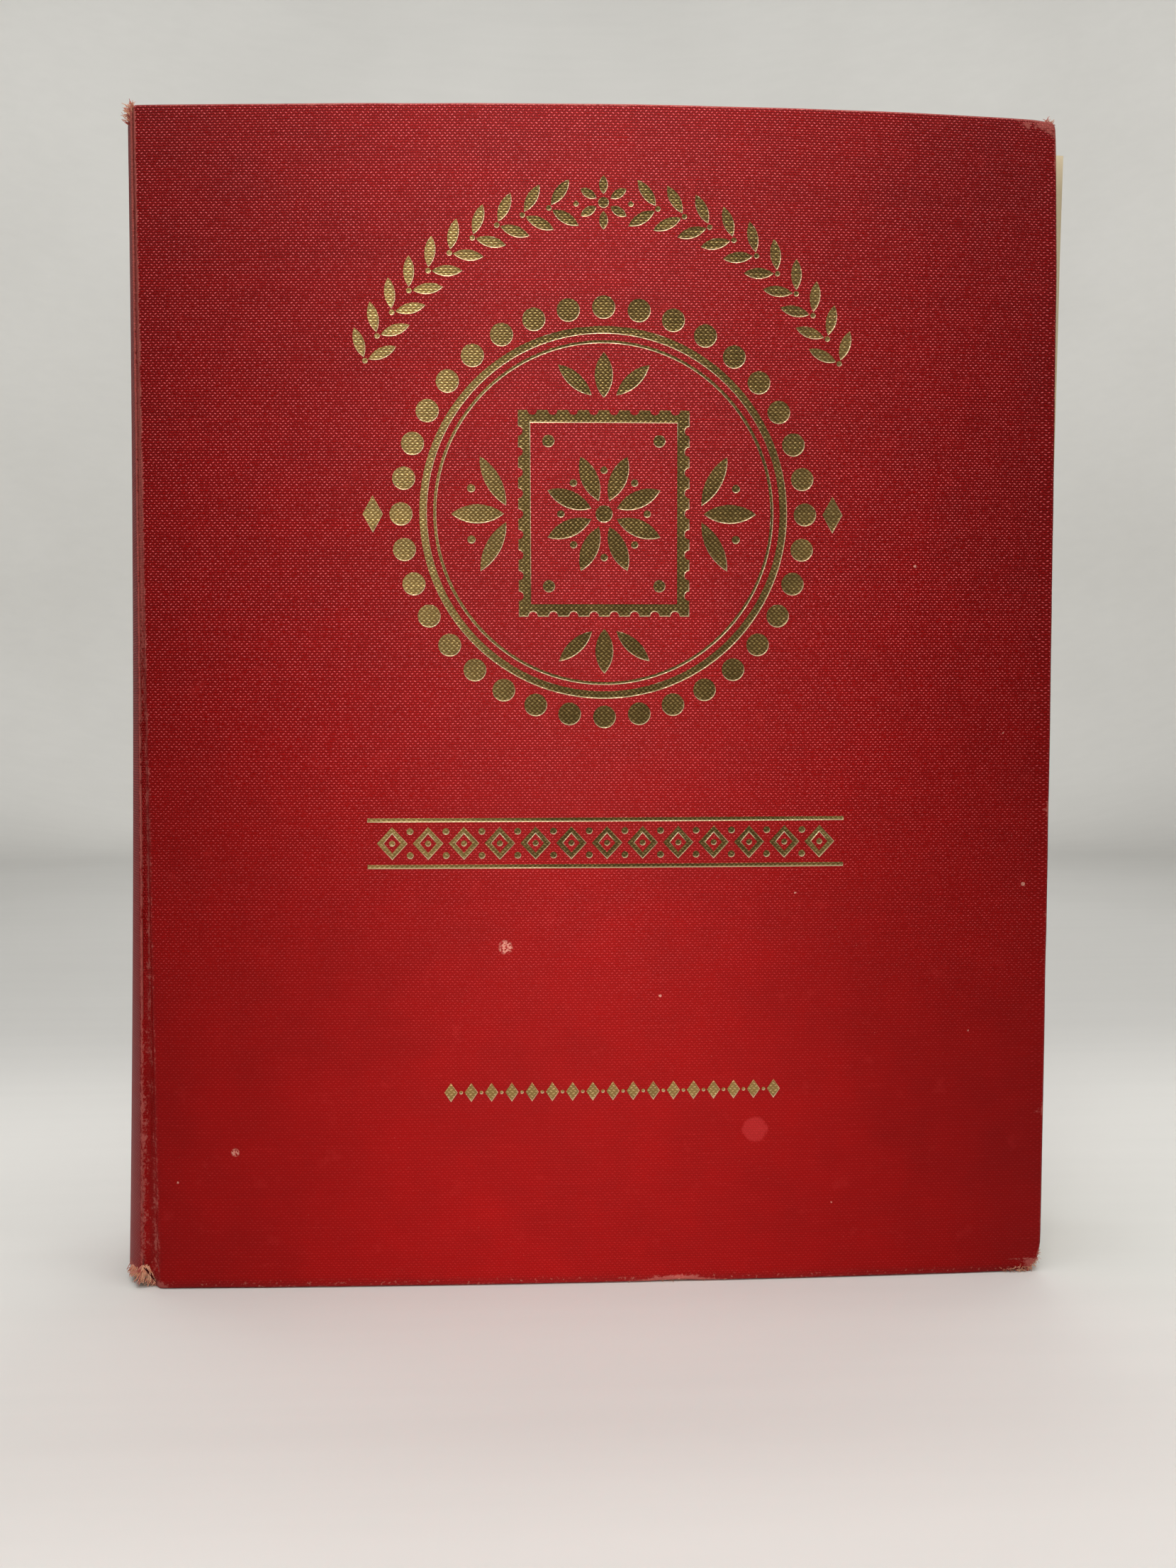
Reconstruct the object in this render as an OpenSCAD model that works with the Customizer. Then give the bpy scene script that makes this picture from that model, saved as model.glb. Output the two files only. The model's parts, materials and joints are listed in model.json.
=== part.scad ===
// Case-bound album for postage stamps, standing upright on its tail edge.
// +Z runs from tail to head, the front cover faces -Y, the spine is at -X.
// Origin: centre of the footprint, on the surface the album stands on.

/* [Case] */
// Height of the boards, tail to head
board_h = 292; // [240:1:340]
// Width of each board, joint to fore-edge
board_w = 225.5; // [180:0.5:260]
// Thickness of the whole closed album
album_t = 43.2; // [40:0.1:52]
// Thickness of the millboard in each cover
board_t = 2.5; // [2:0.1:3]
// Thickness of the covering cloth
cloth_t = 0.5; // [0.4:0.05:0.6]
// How far the cloth turns in over the inner face
turn_in = 15; // [10:1:20]
// Distance from the board's joint edge to the outermost line of the spine
joint_w = 8.3; // [8.3:0.1:10]

/* [Spine] */
// How far the spine bulges between its shoulders
spine_bulge = 5.6; // [4.5:0.1:5.7]
// Half the distance between the spine's two shoulders
spine_half = 19.6; // [18.5:0.1:20]
// Thickness of the stiff spine inlay
inlay_t = 1; // [0.8:0.1:1.2]

/* [Pages] */
// Margin by which the boards overhang the pages
square = 3; // [2:0.5:5]
// Thickness of one sheet of the sewn sections
sheet_t = 0.22; // [0.15:0.01:0.24]
// Thickness of each guarded leaf
leaf_t = 0.3; // [0.2:0.01:0.32]
// Width of the sewing tapes
tape_w = 12; // [8:1:16]

/* [Gold blocking] */
// Thickness of the foil
foil_t = 0.06; // [0.04:0.01:0.1]
// Centre of the medallion across the board, from its joint edge
medallion_x = 113; // [100:1:120]
// Centre of the medallion above the tail edge
medallion_z = 194; // [186:1:200]
// Height of the title band's middle above the tail edge
title_z = 113; // [60:1:125]
// Height of the foot row's middle above the tail edge
foot_z = 50; // [20:1:70]
// Radius of the ring of pearls
pearl_ring_r = 49.7; // [40:0.1:52]
// Diameter of one pearl
pearl_d = 5.6; // [3:0.1:6.5]
// Radius of the arch that the garland follows
garland_r = 63.5; // [60:0.5:68]
// Height of the arch's centre above the tail edge
garland_z = 205; // [200:1:210]

/* [Hidden] */

$fn = 48;
arc_fn = 360;           // facets on the large spine arcs
e = 0.01;               // hairline between neighbours that share a curve

album_w = board_w + joint_w;
x_left = -album_w / 2;              // outermost line of the spine
x_fore = album_w / 2;               // fore-edge of the boards
x_be = x_left + joint_w;            // joint edge of the boards
y_front = -album_t / 2 + foil_t;    // outer face of the front cloth
y_back = album_t / 2;               // outer face of the back cloth

turn_t = 0.4;                       // thickness of a pressed turn-in
paste_t = 0.3;                      // thickness of a pastedown
u_board = cloth_t;                  // depth where the board begins
u_turn = u_board + board_t;         // depth where the turn-in begins
u_paste = u_turn + turn_t;          // depth where the pastedown begins
paste_margin = 4;                   // cloth left showing round a pastedown

// Leaves lie behind each cover at these depths, then the sewn block begins
u_leaf0 = u_paste + paste_t + 0.3;
front_pitch = 0.6;
back_pitch = 0.9;
u_block = u_leaf0 + 6 * front_pitch;
block_y0 = y_front + u_block;
block_y1 = y_back - u_block;
n_sections = 10;
section_pitch = (block_y1 - block_y0) / n_sections;
section_half = 1.2;                 // half the thickness of a section
n_sheets = 4;
sheet_pitch = 0.3;

z0_page = square;
z1_page = board_h - square;
page_fore = x_fore - square;
guard_end = x_be + 2.65;            // where the leaf guards stop
leaf_start = guard_end + 0.1;       // where each guarded leaf begins

// Spine arc: the outer face of the cloth
r_spine = (spine_half * spine_half + spine_bulge * spine_bulge) / (2 * spine_bulge);
cx_spine = x_left + r_spine;
// Sewn block arc: where the folds of the sections lie
r_block = 60;
block_x = x_be - 1;                 // outermost fold of the block
cx_block = block_x + r_block;
lining_half = 17.3;
tape_z = [0.14, 0.36, 0.64, 0.86];  // heights of the tapes, as shares of the height

// ---- shared shapes ----

module slab(x0, x1, y0, y1, z0, z1)
    translate([x0, y0, z0]) cube([x1 - x0, y1 - y0, z1 - z0]);

// A curved strip: the part of a tube wall left of its axis, within |y| <= half
module arc_band(cx, r_out, r_in, half, z0, z1)
    intersection() {
        translate([cx, 0, z0]) difference() {
            cylinder(r = r_out, h = z1 - z0, $fn = arc_fn);
            translate([0, 0, -1]) cylinder(r = r_in, h = z1 - z0 + 2, $fn = arc_fn);
        }
        slab(cx - r_out - 5, cx - r_out / 2, -half, half, z0 - 1, z1 + 1);
    }

// Depth measured inward from the outer face of each cover
module front_side() translate([0, y_front, 0]) children();
module back_side() translate([0, y_back, 0]) mirror([0, 1, 0]) children();

module cover_board()
    slab(x_be, x_fore - cloth_t, u_board, u_turn, cloth_t, board_h - cloth_t);

// Cloth over the face, round three edges, and turned in over the inner face
module cover_cloth()
    difference() {
        slab(x_be, x_fore, 0, u_paste, 0, board_h);
        slab(x_be - 1, x_fore - cloth_t, u_board, u_turn, cloth_t, board_h - cloth_t);
        slab(x_be - 1, x_fore - turn_in, u_turn - 0.1, u_paste + 1, turn_in, board_h - turn_in);
    }

// The pastedown dips into the frame of turn-ins and lies on the bare board
module cover_pastedown()
    difference() {
        union() {
            slab(x_be + 0.5, x_fore - paste_margin, u_paste, u_paste + paste_t,
                paste_margin, board_h - paste_margin);
            slab(x_be + 0.5, x_fore - turn_in, u_turn, u_paste + paste_t,
                turn_in, board_h - turn_in);
        }
        slab(x_be - 1, x_fore - turn_in - paste_t, u_turn + paste_t, u_paste + paste_t + 1,
            turn_in + paste_t, board_h - turn_in - paste_t);
    }

// Cloth that crosses from the spine's shoulder to the board's edge, with a groove
module joint_strip() {
    s = u_from_y(spine_half);
    xs = shoulder_x();
    w = x_be - xs;              // width of the joint
    linear_extrude(height = board_h)
        polygon([
            [xs, s - e], [xs, s - 0.35], [xs + 0.12 * w, s - 0.66], [xs + 0.3 * w, s - 0.74],
            [xs + 0.5 * w, s - 0.7], [xs + 0.72 * w, s - 0.9], [x_be - 0.12 * w, 0.35],
            [x_be - e, 0], [x_be - e, cloth_t], [xs + 0.8 * w, s - 0.4],
            [xs + 0.54 * w, s - 0.2], [xs + 0.34 * w, s - 0.22], [xs + 0.26 * w, s - e]]);
}
function u_from_y(h) = album_t / 2 - foil_t - h;   // depth of a shoulder below the cover's face
function shoulder_x() = cx_spine - sqrt(r_spine * r_spine - spine_half * spine_half);

// One folded sheet: two leaves joined by a round fold
module folded_sheet(k) {
    h = section_half - k * sheet_pitch;
    t = sheet_t;
    linear_extrude(height = z1_page - z0_page) {
        intersection() {
            difference() { circle(r = h); circle(r = h - t); }
            translate([-h - 1, -h - 1]) square([h + 1, 2 * h + 2]);
        }
        translate([0, -h]) square([page_len, t]);
        translate([0, h - t]) square([page_len, t]);
    }
}
page_len = page_fore - block_x - section_half - 1.0;

// Sewn section i: nested sheets, set back a little toward the outside of the block
module section(i) {
    y = block_y0 + (i + 0.5) * section_pitch;
    back = r_block - sqrt(r_block * r_block - pow(abs(y) + section_half, 2));
    translate([block_x + section_half + back + e, y, z0_page])
        for (k = [0 : n_sheets - 1]) folded_sheet(k);
}

module plain_leaf(u)
    slab(leaf_start, page_fore, u, u + leaf_t, z0_page, z1_page);

// A pointed leaf shape lying along +X from the origin
module lens(len, wid, t) {
    r = (len * len / 4 + wid * wid / 4) / wid;
    translate([len / 2, 0, 0]) intersection() {
        translate([0, r - wid / 2, 0]) cylinder(r = r, h = t, $fn = 96);
        translate([0, -r + wid / 2, 0]) cylinder(r = r, h = t, $fn = 96);
    }
}
module ring(r_out, r_in, t)
    difference() {
        cylinder(r = r_out, h = t, $fn = 120);
        translate([0, 0, -1]) cylinder(r = r_in, h = t + 2, $fn = 120);
    }
module dot(d, t) cylinder(r = d / 2, h = t, $fn = 24);
module lozenge(w, h, t)
    linear_extrude(height = t) polygon([[-w / 2, 0], [0, -h / 2], [w / 2, 0], [0, h / 2]]);

// Stands a flat pattern, drawn in X and Y, up on the front cover's face
module on_face(x, z)
    translate([x_be + x, y_front, z]) rotate([90, 0, 0]) children();

// ---- case ----

module spine_inlay() color("tan")
    arc_band(cx_spine, r_spine - cloth_t, r_spine - cloth_t - inlay_t,
        spine_half, cloth_t, board_h - cloth_t);

module spine_cloth() color([0.55, 0.09, 0.09])
    difference() {
        arc_band(cx_spine, r_spine, r_spine - cloth_t - inlay_t - turn_t, spine_half, 0, board_h);
        arc_band(cx_spine, r_spine - cloth_t, r_spine - cloth_t - inlay_t,
            spine_half + 1, cloth_t, board_h - cloth_t);
        arc_band(cx_spine, r_spine - cloth_t - inlay_t / 2, r_spine - cloth_t - inlay_t - turn_t - 1,
            spine_half + 1, turn_in, board_h - turn_in);
    }

module front_joint_cloth() color([0.50, 0.08, 0.08]) front_side() joint_strip();
module back_joint_cloth() color([0.50, 0.08, 0.08])
    translate([0, -foil_t, 0]) back_side() joint_strip_back();
module joint_strip_back() translate([0, -foil_t, 0]) joint_strip();

module front_board() color("burlywood") front_side() cover_board();
module back_board() color("burlywood") back_side() cover_board();
module front_cloth() color([0.56, 0.10, 0.10]) front_side() cover_cloth();
module back_cloth() color([0.56, 0.10, 0.10]) back_side() cover_cloth();
module front_pastedown() color("antiquewhite") front_side() cover_pastedown();
module back_pastedown() color("antiquewhite") back_side() cover_pastedown();

// ---- sewn block ----

module spine_lining_paper() color("peru")
    arc_band(cx_block, r_block + 1.4, r_block + 1.0, lining_half, z0_page + 4, z1_page - 4);
module spine_mull() color("beige")
    arc_band(cx_block, r_block + 1.0, r_block + 0.7, lining_half, z0_page + 12, z1_page - 12);
module sewing_tapes() color("linen")
    for (s = tape_z)
        arc_band(cx_block, r_block + 0.4, r_block + e, lining_half,
            s * board_h - tape_w / 2, s * board_h + tape_w / 2);

// A stitch of thread crosses each tape at each section
module sewing_thread() color("ivory")
    for (s = tape_z) for (i = [0 : n_sections - 1]) {
        y = block_y0 + (i + 0.5) * section_pitch;
        x = cx_block - sqrt(pow(r_block + 0.46, 2) - y * y);
        slab(x - 0.18, x, y - 0.25, y + 0.25,
            s * board_h - tape_w / 2 - 1, s * board_h + tape_w / 2 + 1);
    }

module head_band() color("firebrick")
    arc_band(cx_block, r_block + 0.6, r_block - 1.0, block_y1 - 0.3, z1_page + e, z1_page + 1.6);
module tail_band() color("firebrick")
    arc_band(cx_block, r_block + 0.6, r_block - 1.0, block_y1 - 0.3, z0_page - 1.6, z0_page - e);

// Stubs between the sections that make room for mounted stamps
module compensation_guards() color("wheat")
    for (i = [1 : n_sections - 1]) {
        y = block_y0 + i * section_pitch;
        t = section_pitch - 2 * section_half - 0.04;
        slab(block_x + 3, block_x + 15, y - t / 2, y + t / 2, z0_page, z1_page);
    }

// Linen strips in the gutter that carry the leaves which turn singly
module leaf_guards() color("linen")
    intersection() {
        union() {
            front_side() for (k = [0 : 5]) slab(x_left, guard_end,
                u_leaf0 + k * front_pitch, u_leaf0 + k * front_pitch + leaf_t, z0_page, z1_page);
            back_side() for (k = [0 : 3]) slab(x_left, guard_end,
                u_leaf0 + k * back_pitch, u_leaf0 + k * back_pitch + leaf_t, z0_page, z1_page);
        }
        translate([cx_block, 0, 0]) cylinder(r = r_block - e, h = board_h, $fn = arc_fn);
    }

module section_01() color("cornsilk") section(0);
module section_02() color("ivory") section(1);
module section_03() color("cornsilk") section(2);
module section_04() color("ivory") section(3);
module section_05() color("cornsilk") section(4);
module section_06() color("ivory") section(5);
module section_07() color("cornsilk") section(6);
module section_08() color("ivory") section(7);
module section_09() color("cornsilk") section(8);
module section_10() color("ivory") section(9);

// ---- leaves that turn singly ----

module front_flyleaf() color("antiquewhite") front_side() plain_leaf(u_leaf0);
module title_leaf() color("ivory") front_side() plain_leaf(u_leaf0 + front_pitch);
module album_leaf_1() color("ivory") front_side() plain_leaf(u_leaf0 + 2 * front_pitch);
module album_leaf_2() color("ivory") front_side() plain_leaf(u_leaf0 + 3 * front_pitch);
module album_leaf_3() color("ivory") front_side() plain_leaf(u_leaf0 + 4 * front_pitch);
module album_leaf_4() color("ivory") front_side() plain_leaf(u_leaf0 + 5 * front_pitch);
module album_leaf_5() color("ivory") back_side() plain_leaf(u_leaf0 + 3 * back_pitch);
module album_leaf_6() color("ivory") back_side() plain_leaf(u_leaf0 + 2 * back_pitch);
module album_leaf_7() color("ivory") back_side() plain_leaf(u_leaf0 + back_pitch);
module back_flyleaf() color("antiquewhite") back_side() plain_leaf(u_leaf0);

// ---- gold blocking: plain ornament, no lettering ----

// Leaves in pairs along an arch over the medallion, with berries between them
module foil_garland() color("gold")
    on_face(medallion_x, garland_z)
        for (a = [24 : 6 : 156]) {
            side = (a < 90) ? 1 : -1;
            if (abs(a - 90) > 4) rotate([0, 0, a]) translate([garland_r, 0, 0]) {
                if (abs(a - 90) > 10) for (m = [-1, 1])
                    rotate([0, 0, side * 90 + side * 42 * m]) translate([0.9, 0, 0]) lens(7.4, 2.6, foil_t);
                dot(1.3, foil_t);
            }
            else rotate([0, 0, a]) translate([garland_r, 0, 0]) {
                dot(2.6, foil_t);
                for (b = [0 : 60 : 359]) rotate([0, 0, b]) translate([2, 0, 0]) lens(4.4, 2.1, foil_t);
            }
        }

// Ring of pearls round a plain perforated label with an eight-petalled rosette
module foil_medallion() color("gold")
    on_face(medallion_x, medallion_z) {
        for (a = [0 : 10 : 359]) rotate([0, 0, a]) translate([pearl_ring_r, 0, 0]) dot(pearl_d, foil_t);
        ring(pearl_ring_r - 4.5, pearl_ring_r - 6.3, foil_t);
        ring(pearl_ring_r - 7.9, pearl_ring_r - 8.6, foil_t);
        difference() {
            translate([-21, -25, 0]) cube([42, 50, foil_t]);
            translate([-18, -22, -1]) cube([36, 44, foil_t + 2]);
            for (s = [-1, 1]) for (x = [-17.5 : 5 : 17.6])
                translate([x, s * 25, -1]) cylinder(r = 1.2, h = foil_t + 2, $fn = 24);
            for (s = [-1, 1]) for (y = [-20 : 5 : 20.1])
                translate([s * 21, y, -1]) cylinder(r = 1.2, h = foil_t + 2, $fn = 24);
        }
        for (a = [0 : 45 : 359]) rotate([0, 0, a + 22.5]) translate([3.4, 0, 0]) lens(11.6, 4.2, foil_t);
        for (a = [0 : 45 : 359]) rotate([0, 0, a]) translate([10.6, 0, 0]) dot(1.8, foil_t);
        dot(4.2, foil_t);
        for (sx = [-1, 1]) for (sy = [-1, 1]) translate([sx * 13.6, sy * 17.6, 0]) dot(3, foil_t);
        for (s = [0, 180]) rotate([0, 0, s]) {
            translate([24.5, 0, 0]) lens(13, 4.6, foil_t);
            for (m = [-1, 1]) translate([24, m * 2, 0]) rotate([0, 0, m * 62]) lens(13.5, 3.8, foil_t);
            for (m = [-1, 1]) translate([32.5, m * 6.2, 0]) dot(2, foil_t);
            translate([0, 0, 0]) rotate([0, 0, 90]) translate([28, 0, 0]) lens(11, 4.4, foil_t);
            for (m = [-1, 1]) rotate([0, 0, 90]) translate([28.6, m * 3, 0]) rotate([0, 0, m * 48]) lens(11, 3.4, foil_t);
            translate([56.6, 0, 0]) lozenge(5, 9, foil_t);
        }
    }

// Band of lozenges between two rules
module foil_title_band() color("gold")
    on_face(medallion_x + 0.6, title_z) {
        translate([-59.5, 5.3, 0]) cube([119, 1, foil_t]);
        translate([-59.5, -6.3, 0]) cube([119, 1, foil_t]);
        for (i = [-6 : 6]) translate([i * 8.9, 0, 0]) {
            difference() {
                lozenge(7.6, 8.2, foil_t);
                translate([0, 0, -1]) lozenge(4.2, 4.8, foil_t + 2);
            }
            dot(1.5, foil_t);
        }
        for (i = [-6 : 5]) translate([(i + 0.5) * 8.9, 0, 0]) {
            translate([0, 3, 0]) dot(1.7, foil_t);
            translate([0, -3, 0]) dot(1.7, foil_t);
        }
    }

// Small row near the foot
module foil_foot_row() color("gold")
    on_face(medallion_x + 2, foot_z) {
        for (i = [-8 : 8]) translate([i * 5.1, 0, 0]) lozenge(3.3, 4.8, foil_t);
        for (i = [-8 : 7]) translate([(i + 0.5) * 5.1, 0, 0]) dot(0.9, foil_t);
    }

spine_inlay();
spine_cloth();
front_joint_cloth();
back_joint_cloth();
spine_lining_paper();
spine_mull();
sewing_tapes();
sewing_thread();
head_band();
tail_band();
compensation_guards();
leaf_guards();
section_01();
section_02();
section_03();
section_04();
section_05();
section_06();
section_07();
section_08();
section_09();
section_10();
front_board();
front_cloth();
front_pastedown();
foil_garland();
foil_medallion();
foil_title_band();
foil_foot_row();
back_board();
back_cloth();
back_pastedown();
front_flyleaf();
title_leaf();
album_leaf_1();
album_leaf_2();
album_leaf_3();
album_leaf_4();
album_leaf_5();
album_leaf_6();
album_leaf_7();
back_flyleaf();
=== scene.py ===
import json
import math
import random

import bpy
import numpy as np
from mathutils import Matrix, Vector, geometry, noise


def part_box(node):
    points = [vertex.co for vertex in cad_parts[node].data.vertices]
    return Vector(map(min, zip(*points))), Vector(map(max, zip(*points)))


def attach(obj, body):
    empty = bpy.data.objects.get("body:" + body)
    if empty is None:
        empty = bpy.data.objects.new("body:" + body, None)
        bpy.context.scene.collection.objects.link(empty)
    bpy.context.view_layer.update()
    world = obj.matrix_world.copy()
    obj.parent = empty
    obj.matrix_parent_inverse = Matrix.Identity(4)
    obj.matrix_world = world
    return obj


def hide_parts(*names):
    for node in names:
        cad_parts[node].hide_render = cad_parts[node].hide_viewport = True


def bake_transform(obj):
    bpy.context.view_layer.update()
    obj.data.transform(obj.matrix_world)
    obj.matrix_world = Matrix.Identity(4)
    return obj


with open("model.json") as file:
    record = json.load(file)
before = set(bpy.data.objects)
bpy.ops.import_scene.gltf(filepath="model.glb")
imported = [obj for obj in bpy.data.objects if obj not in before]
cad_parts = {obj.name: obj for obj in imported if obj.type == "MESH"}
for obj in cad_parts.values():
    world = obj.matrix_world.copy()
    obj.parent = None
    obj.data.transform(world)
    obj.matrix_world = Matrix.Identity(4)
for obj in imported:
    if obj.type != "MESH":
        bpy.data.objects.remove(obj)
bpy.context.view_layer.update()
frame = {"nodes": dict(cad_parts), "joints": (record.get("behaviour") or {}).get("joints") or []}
MM = 0.001

# ------------------------------------------------------------------ frame sizes, in mm
lo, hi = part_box("front_cloth")
X_BE, X_FE, YF, H = lo.x / MM, hi.x / MM, lo.y / MM, hi.z / MM
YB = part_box("back_cloth")[1].y / MM
W = X_FE - X_BE
T = (hi.y - lo.y) / MM                     # cloth face to turn-in
PAGE_Z0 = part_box("title_leaf")[0].z / MM
PAGE_Z1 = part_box("title_leaf")[1].z / MM
PAGE_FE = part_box("title_leaf")[1].x / MM
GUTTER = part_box("title_leaf")[0].x / MM
hinge = [j for j in frame["joints"] if j["name"] == "front_cover_hinge"][0]
X_PIVOT = hinge["pos_m"][0] / MM
JW = 6.0                                   # width of joint cloth on the flat


def clamp(v, a=0.0, b=1.0):
    return a if v < a else b if v > b else v


def smooth(v):
    v = clamp(v)
    return v * v * (3 - 2 * v)


def mix(a, b, t):
    return a + (b - a) * t


def fbm(x, z, scale, seed=0.0, depth=3):
    s = 0.0
    a = 0.5
    for k in range(depth):
        f = 2 ** k / scale
        s += a * noise.noise(Vector((x * f, z * f, seed + 7.3 * k)))
        a *= 0.5
    return s


# ------------------------------------------------------------------ shapes of the worn case
def bow_front(x, z):
    """How far the warped front board stands out toward -Y, in mm."""
    s = clamp((x - X_BE) / W)
    t = clamp(z / H)
    bt = 4.24 * s * (1 - s) * 4 - 1.14 * s * (1 - s) * (1 - 2 * s) * 4 - 0.13 * s
    bb = 1.76 * s * (1 - s) * 4 - 0.14 * s * (1 - s) * (1 - 2 * s) * 4 + 0.14 * s
    return bb * (1 - t) + bt * t + 0.77 * 4 * t * (1 - t) * s


def bow_back(x, z):
    s = clamp((x - X_BE) / W)
    t = clamp(z / H)
    return (1.3 + 0.5 * t) * s * (1 - s) * 4


def joint_gap(z):
    """Width from the front board's edge to the spine's front ridge: the case leans toward the tail."""
    t = clamp(z / H)
    return 4.4 * (1 - t) ** 2 + 1.9 * 2 * t * (1 - t) * 0.75 + 0.95 * t * t


def spine_bulge(z):
    t = clamp(z / H)
    return 9.5 * (1 - t) ** 2 + 5.8 * 2 * t * (1 - t) + 5.0 * t * t


RIDGE_U = 0.75                             # depth of the ridges behind the covers' faces


class Side:
    """One cover: u is depth inward from its outer face, x and z are flat cloth coordinates."""

    def __init__(self, front):
        self.front = front
        self.sgn = 1.0 if front else -1.0
        self.y0 = YF if front else YB
        self.body = "front_cover" if front else "back_cover"

    def bow(self, x, z):
        return bow_front(x, z) if self.front else bow_back(x, z)

    def gap(self, z):
        return joint_gap(z) if self.front else 2.2

    def pos(self, x, z, u):
        if x >= X_BE:
            # the face falls away a little to the joint edge
            e = clamp(1 - (x - X_BE) / 0.9)
            return Vector((x, self.y0 + self.sgn * (u * (1 - 0.12 * e) + 0.28 * e * e - self.bow(x, z)), z))
        j = clamp((X_BE - x) / JW, 0, 1.2)
        g = self.gap(z)
        dip = min(1.25, 0.45 + 0.35 * g)
        d = 0.28 + dip * math.sin(math.pi * min(j, 1)) ** 0.9 * (1 - 0.25 * j) + RIDGE_U * smooth(j)
        if self.front:                     # slanting strained folds in the joint
            d += 0.16 * math.sin(z * 0.11 + j * 5.0) * math.sin(math.pi * min(j, 1)) * smooth((g - 1.2) / 1.5)
        tj = mix(1.0, 0.30, smooth(j / 0.3))
        return Vector((X_BE - g * j, self.y0 + self.sgn * (d + u * tj), z))


FRONT, BACK = Side(True), Side(False)


# ------------------------------------------------------------------ mesh helpers
def link(obj):
    bpy.context.scene.collection.objects.link(obj)
    return obj


def make_mesh(name, verts, faces, uvs=None, attrs=None, mats=(), mat_index=None, smooth_faces=True):
    """verts in mm; uvs per vertex in mm."""
    me = bpy.data.meshes.new(name)
    me.from_pydata([(v[0] * MM, v[1] * MM, v[2] * MM) for v in verts], [], [list(f) for f in faces])
    if uvs is not None:
        layer = me.uv_layers.new(name="cloth")
        idx = np.zeros(len(me.loops), np.int32)
        me.loops.foreach_get("vertex_index", idx)
        uv = np.array(uvs, np.float32)[idx] * MM
        layer.data.foreach_set("uv", uv.ravel())
    for key, values in (attrs or {}).items():
        a = me.attributes.new(key, "FLOAT", "POINT")
        a.data.foreach_set("value", np.array(values, np.float32))
    for m in mats:
        me.materials.append(m)
    if mat_index is not None:
        me.polygons.foreach_set("material_index", np.array(mat_index, np.int32))
    me.polygons.foreach_set("use_smooth", [smooth_faces] * len(me.polygons))
    me.update()
    return link(bpy.data.objects.new(name, me))


def sharpen(obj, degrees):
    """Marks edges sharper than the angle, so that smooth shading stops there."""
    me = obj.data
    n = np.array([p.normal for p in me.polygons])
    seen = {}
    for p in me.polygons:
        for k in p.edge_keys:
            seen.setdefault(k, []).append(p.index)
    c = math.cos(math.radians(degrees))
    flags = []
    for e in me.edges:
        f = seen.get(tuple(sorted(e.vertices)), [])
        flags.append(len(f) == 2 and float(n[f[0]] @ n[f[1]]) < c)
    a = me.attributes.get("sharp_edge") or me.attributes.new("sharp_edge", "BOOLEAN", "EDGE")
    a.data.foreach_set("value", flags)


def solidify(obj, mm, offset=-1.0, rim=None):
    m = obj.modifiers.new("thickness", "SOLIDIFY")
    m.thickness = mm * MM
    m.offset = offset
    m.use_even_offset = False
    m.use_rim = True
    if rim is not None:
        m.material_offset_rim = rim
    return m


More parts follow.
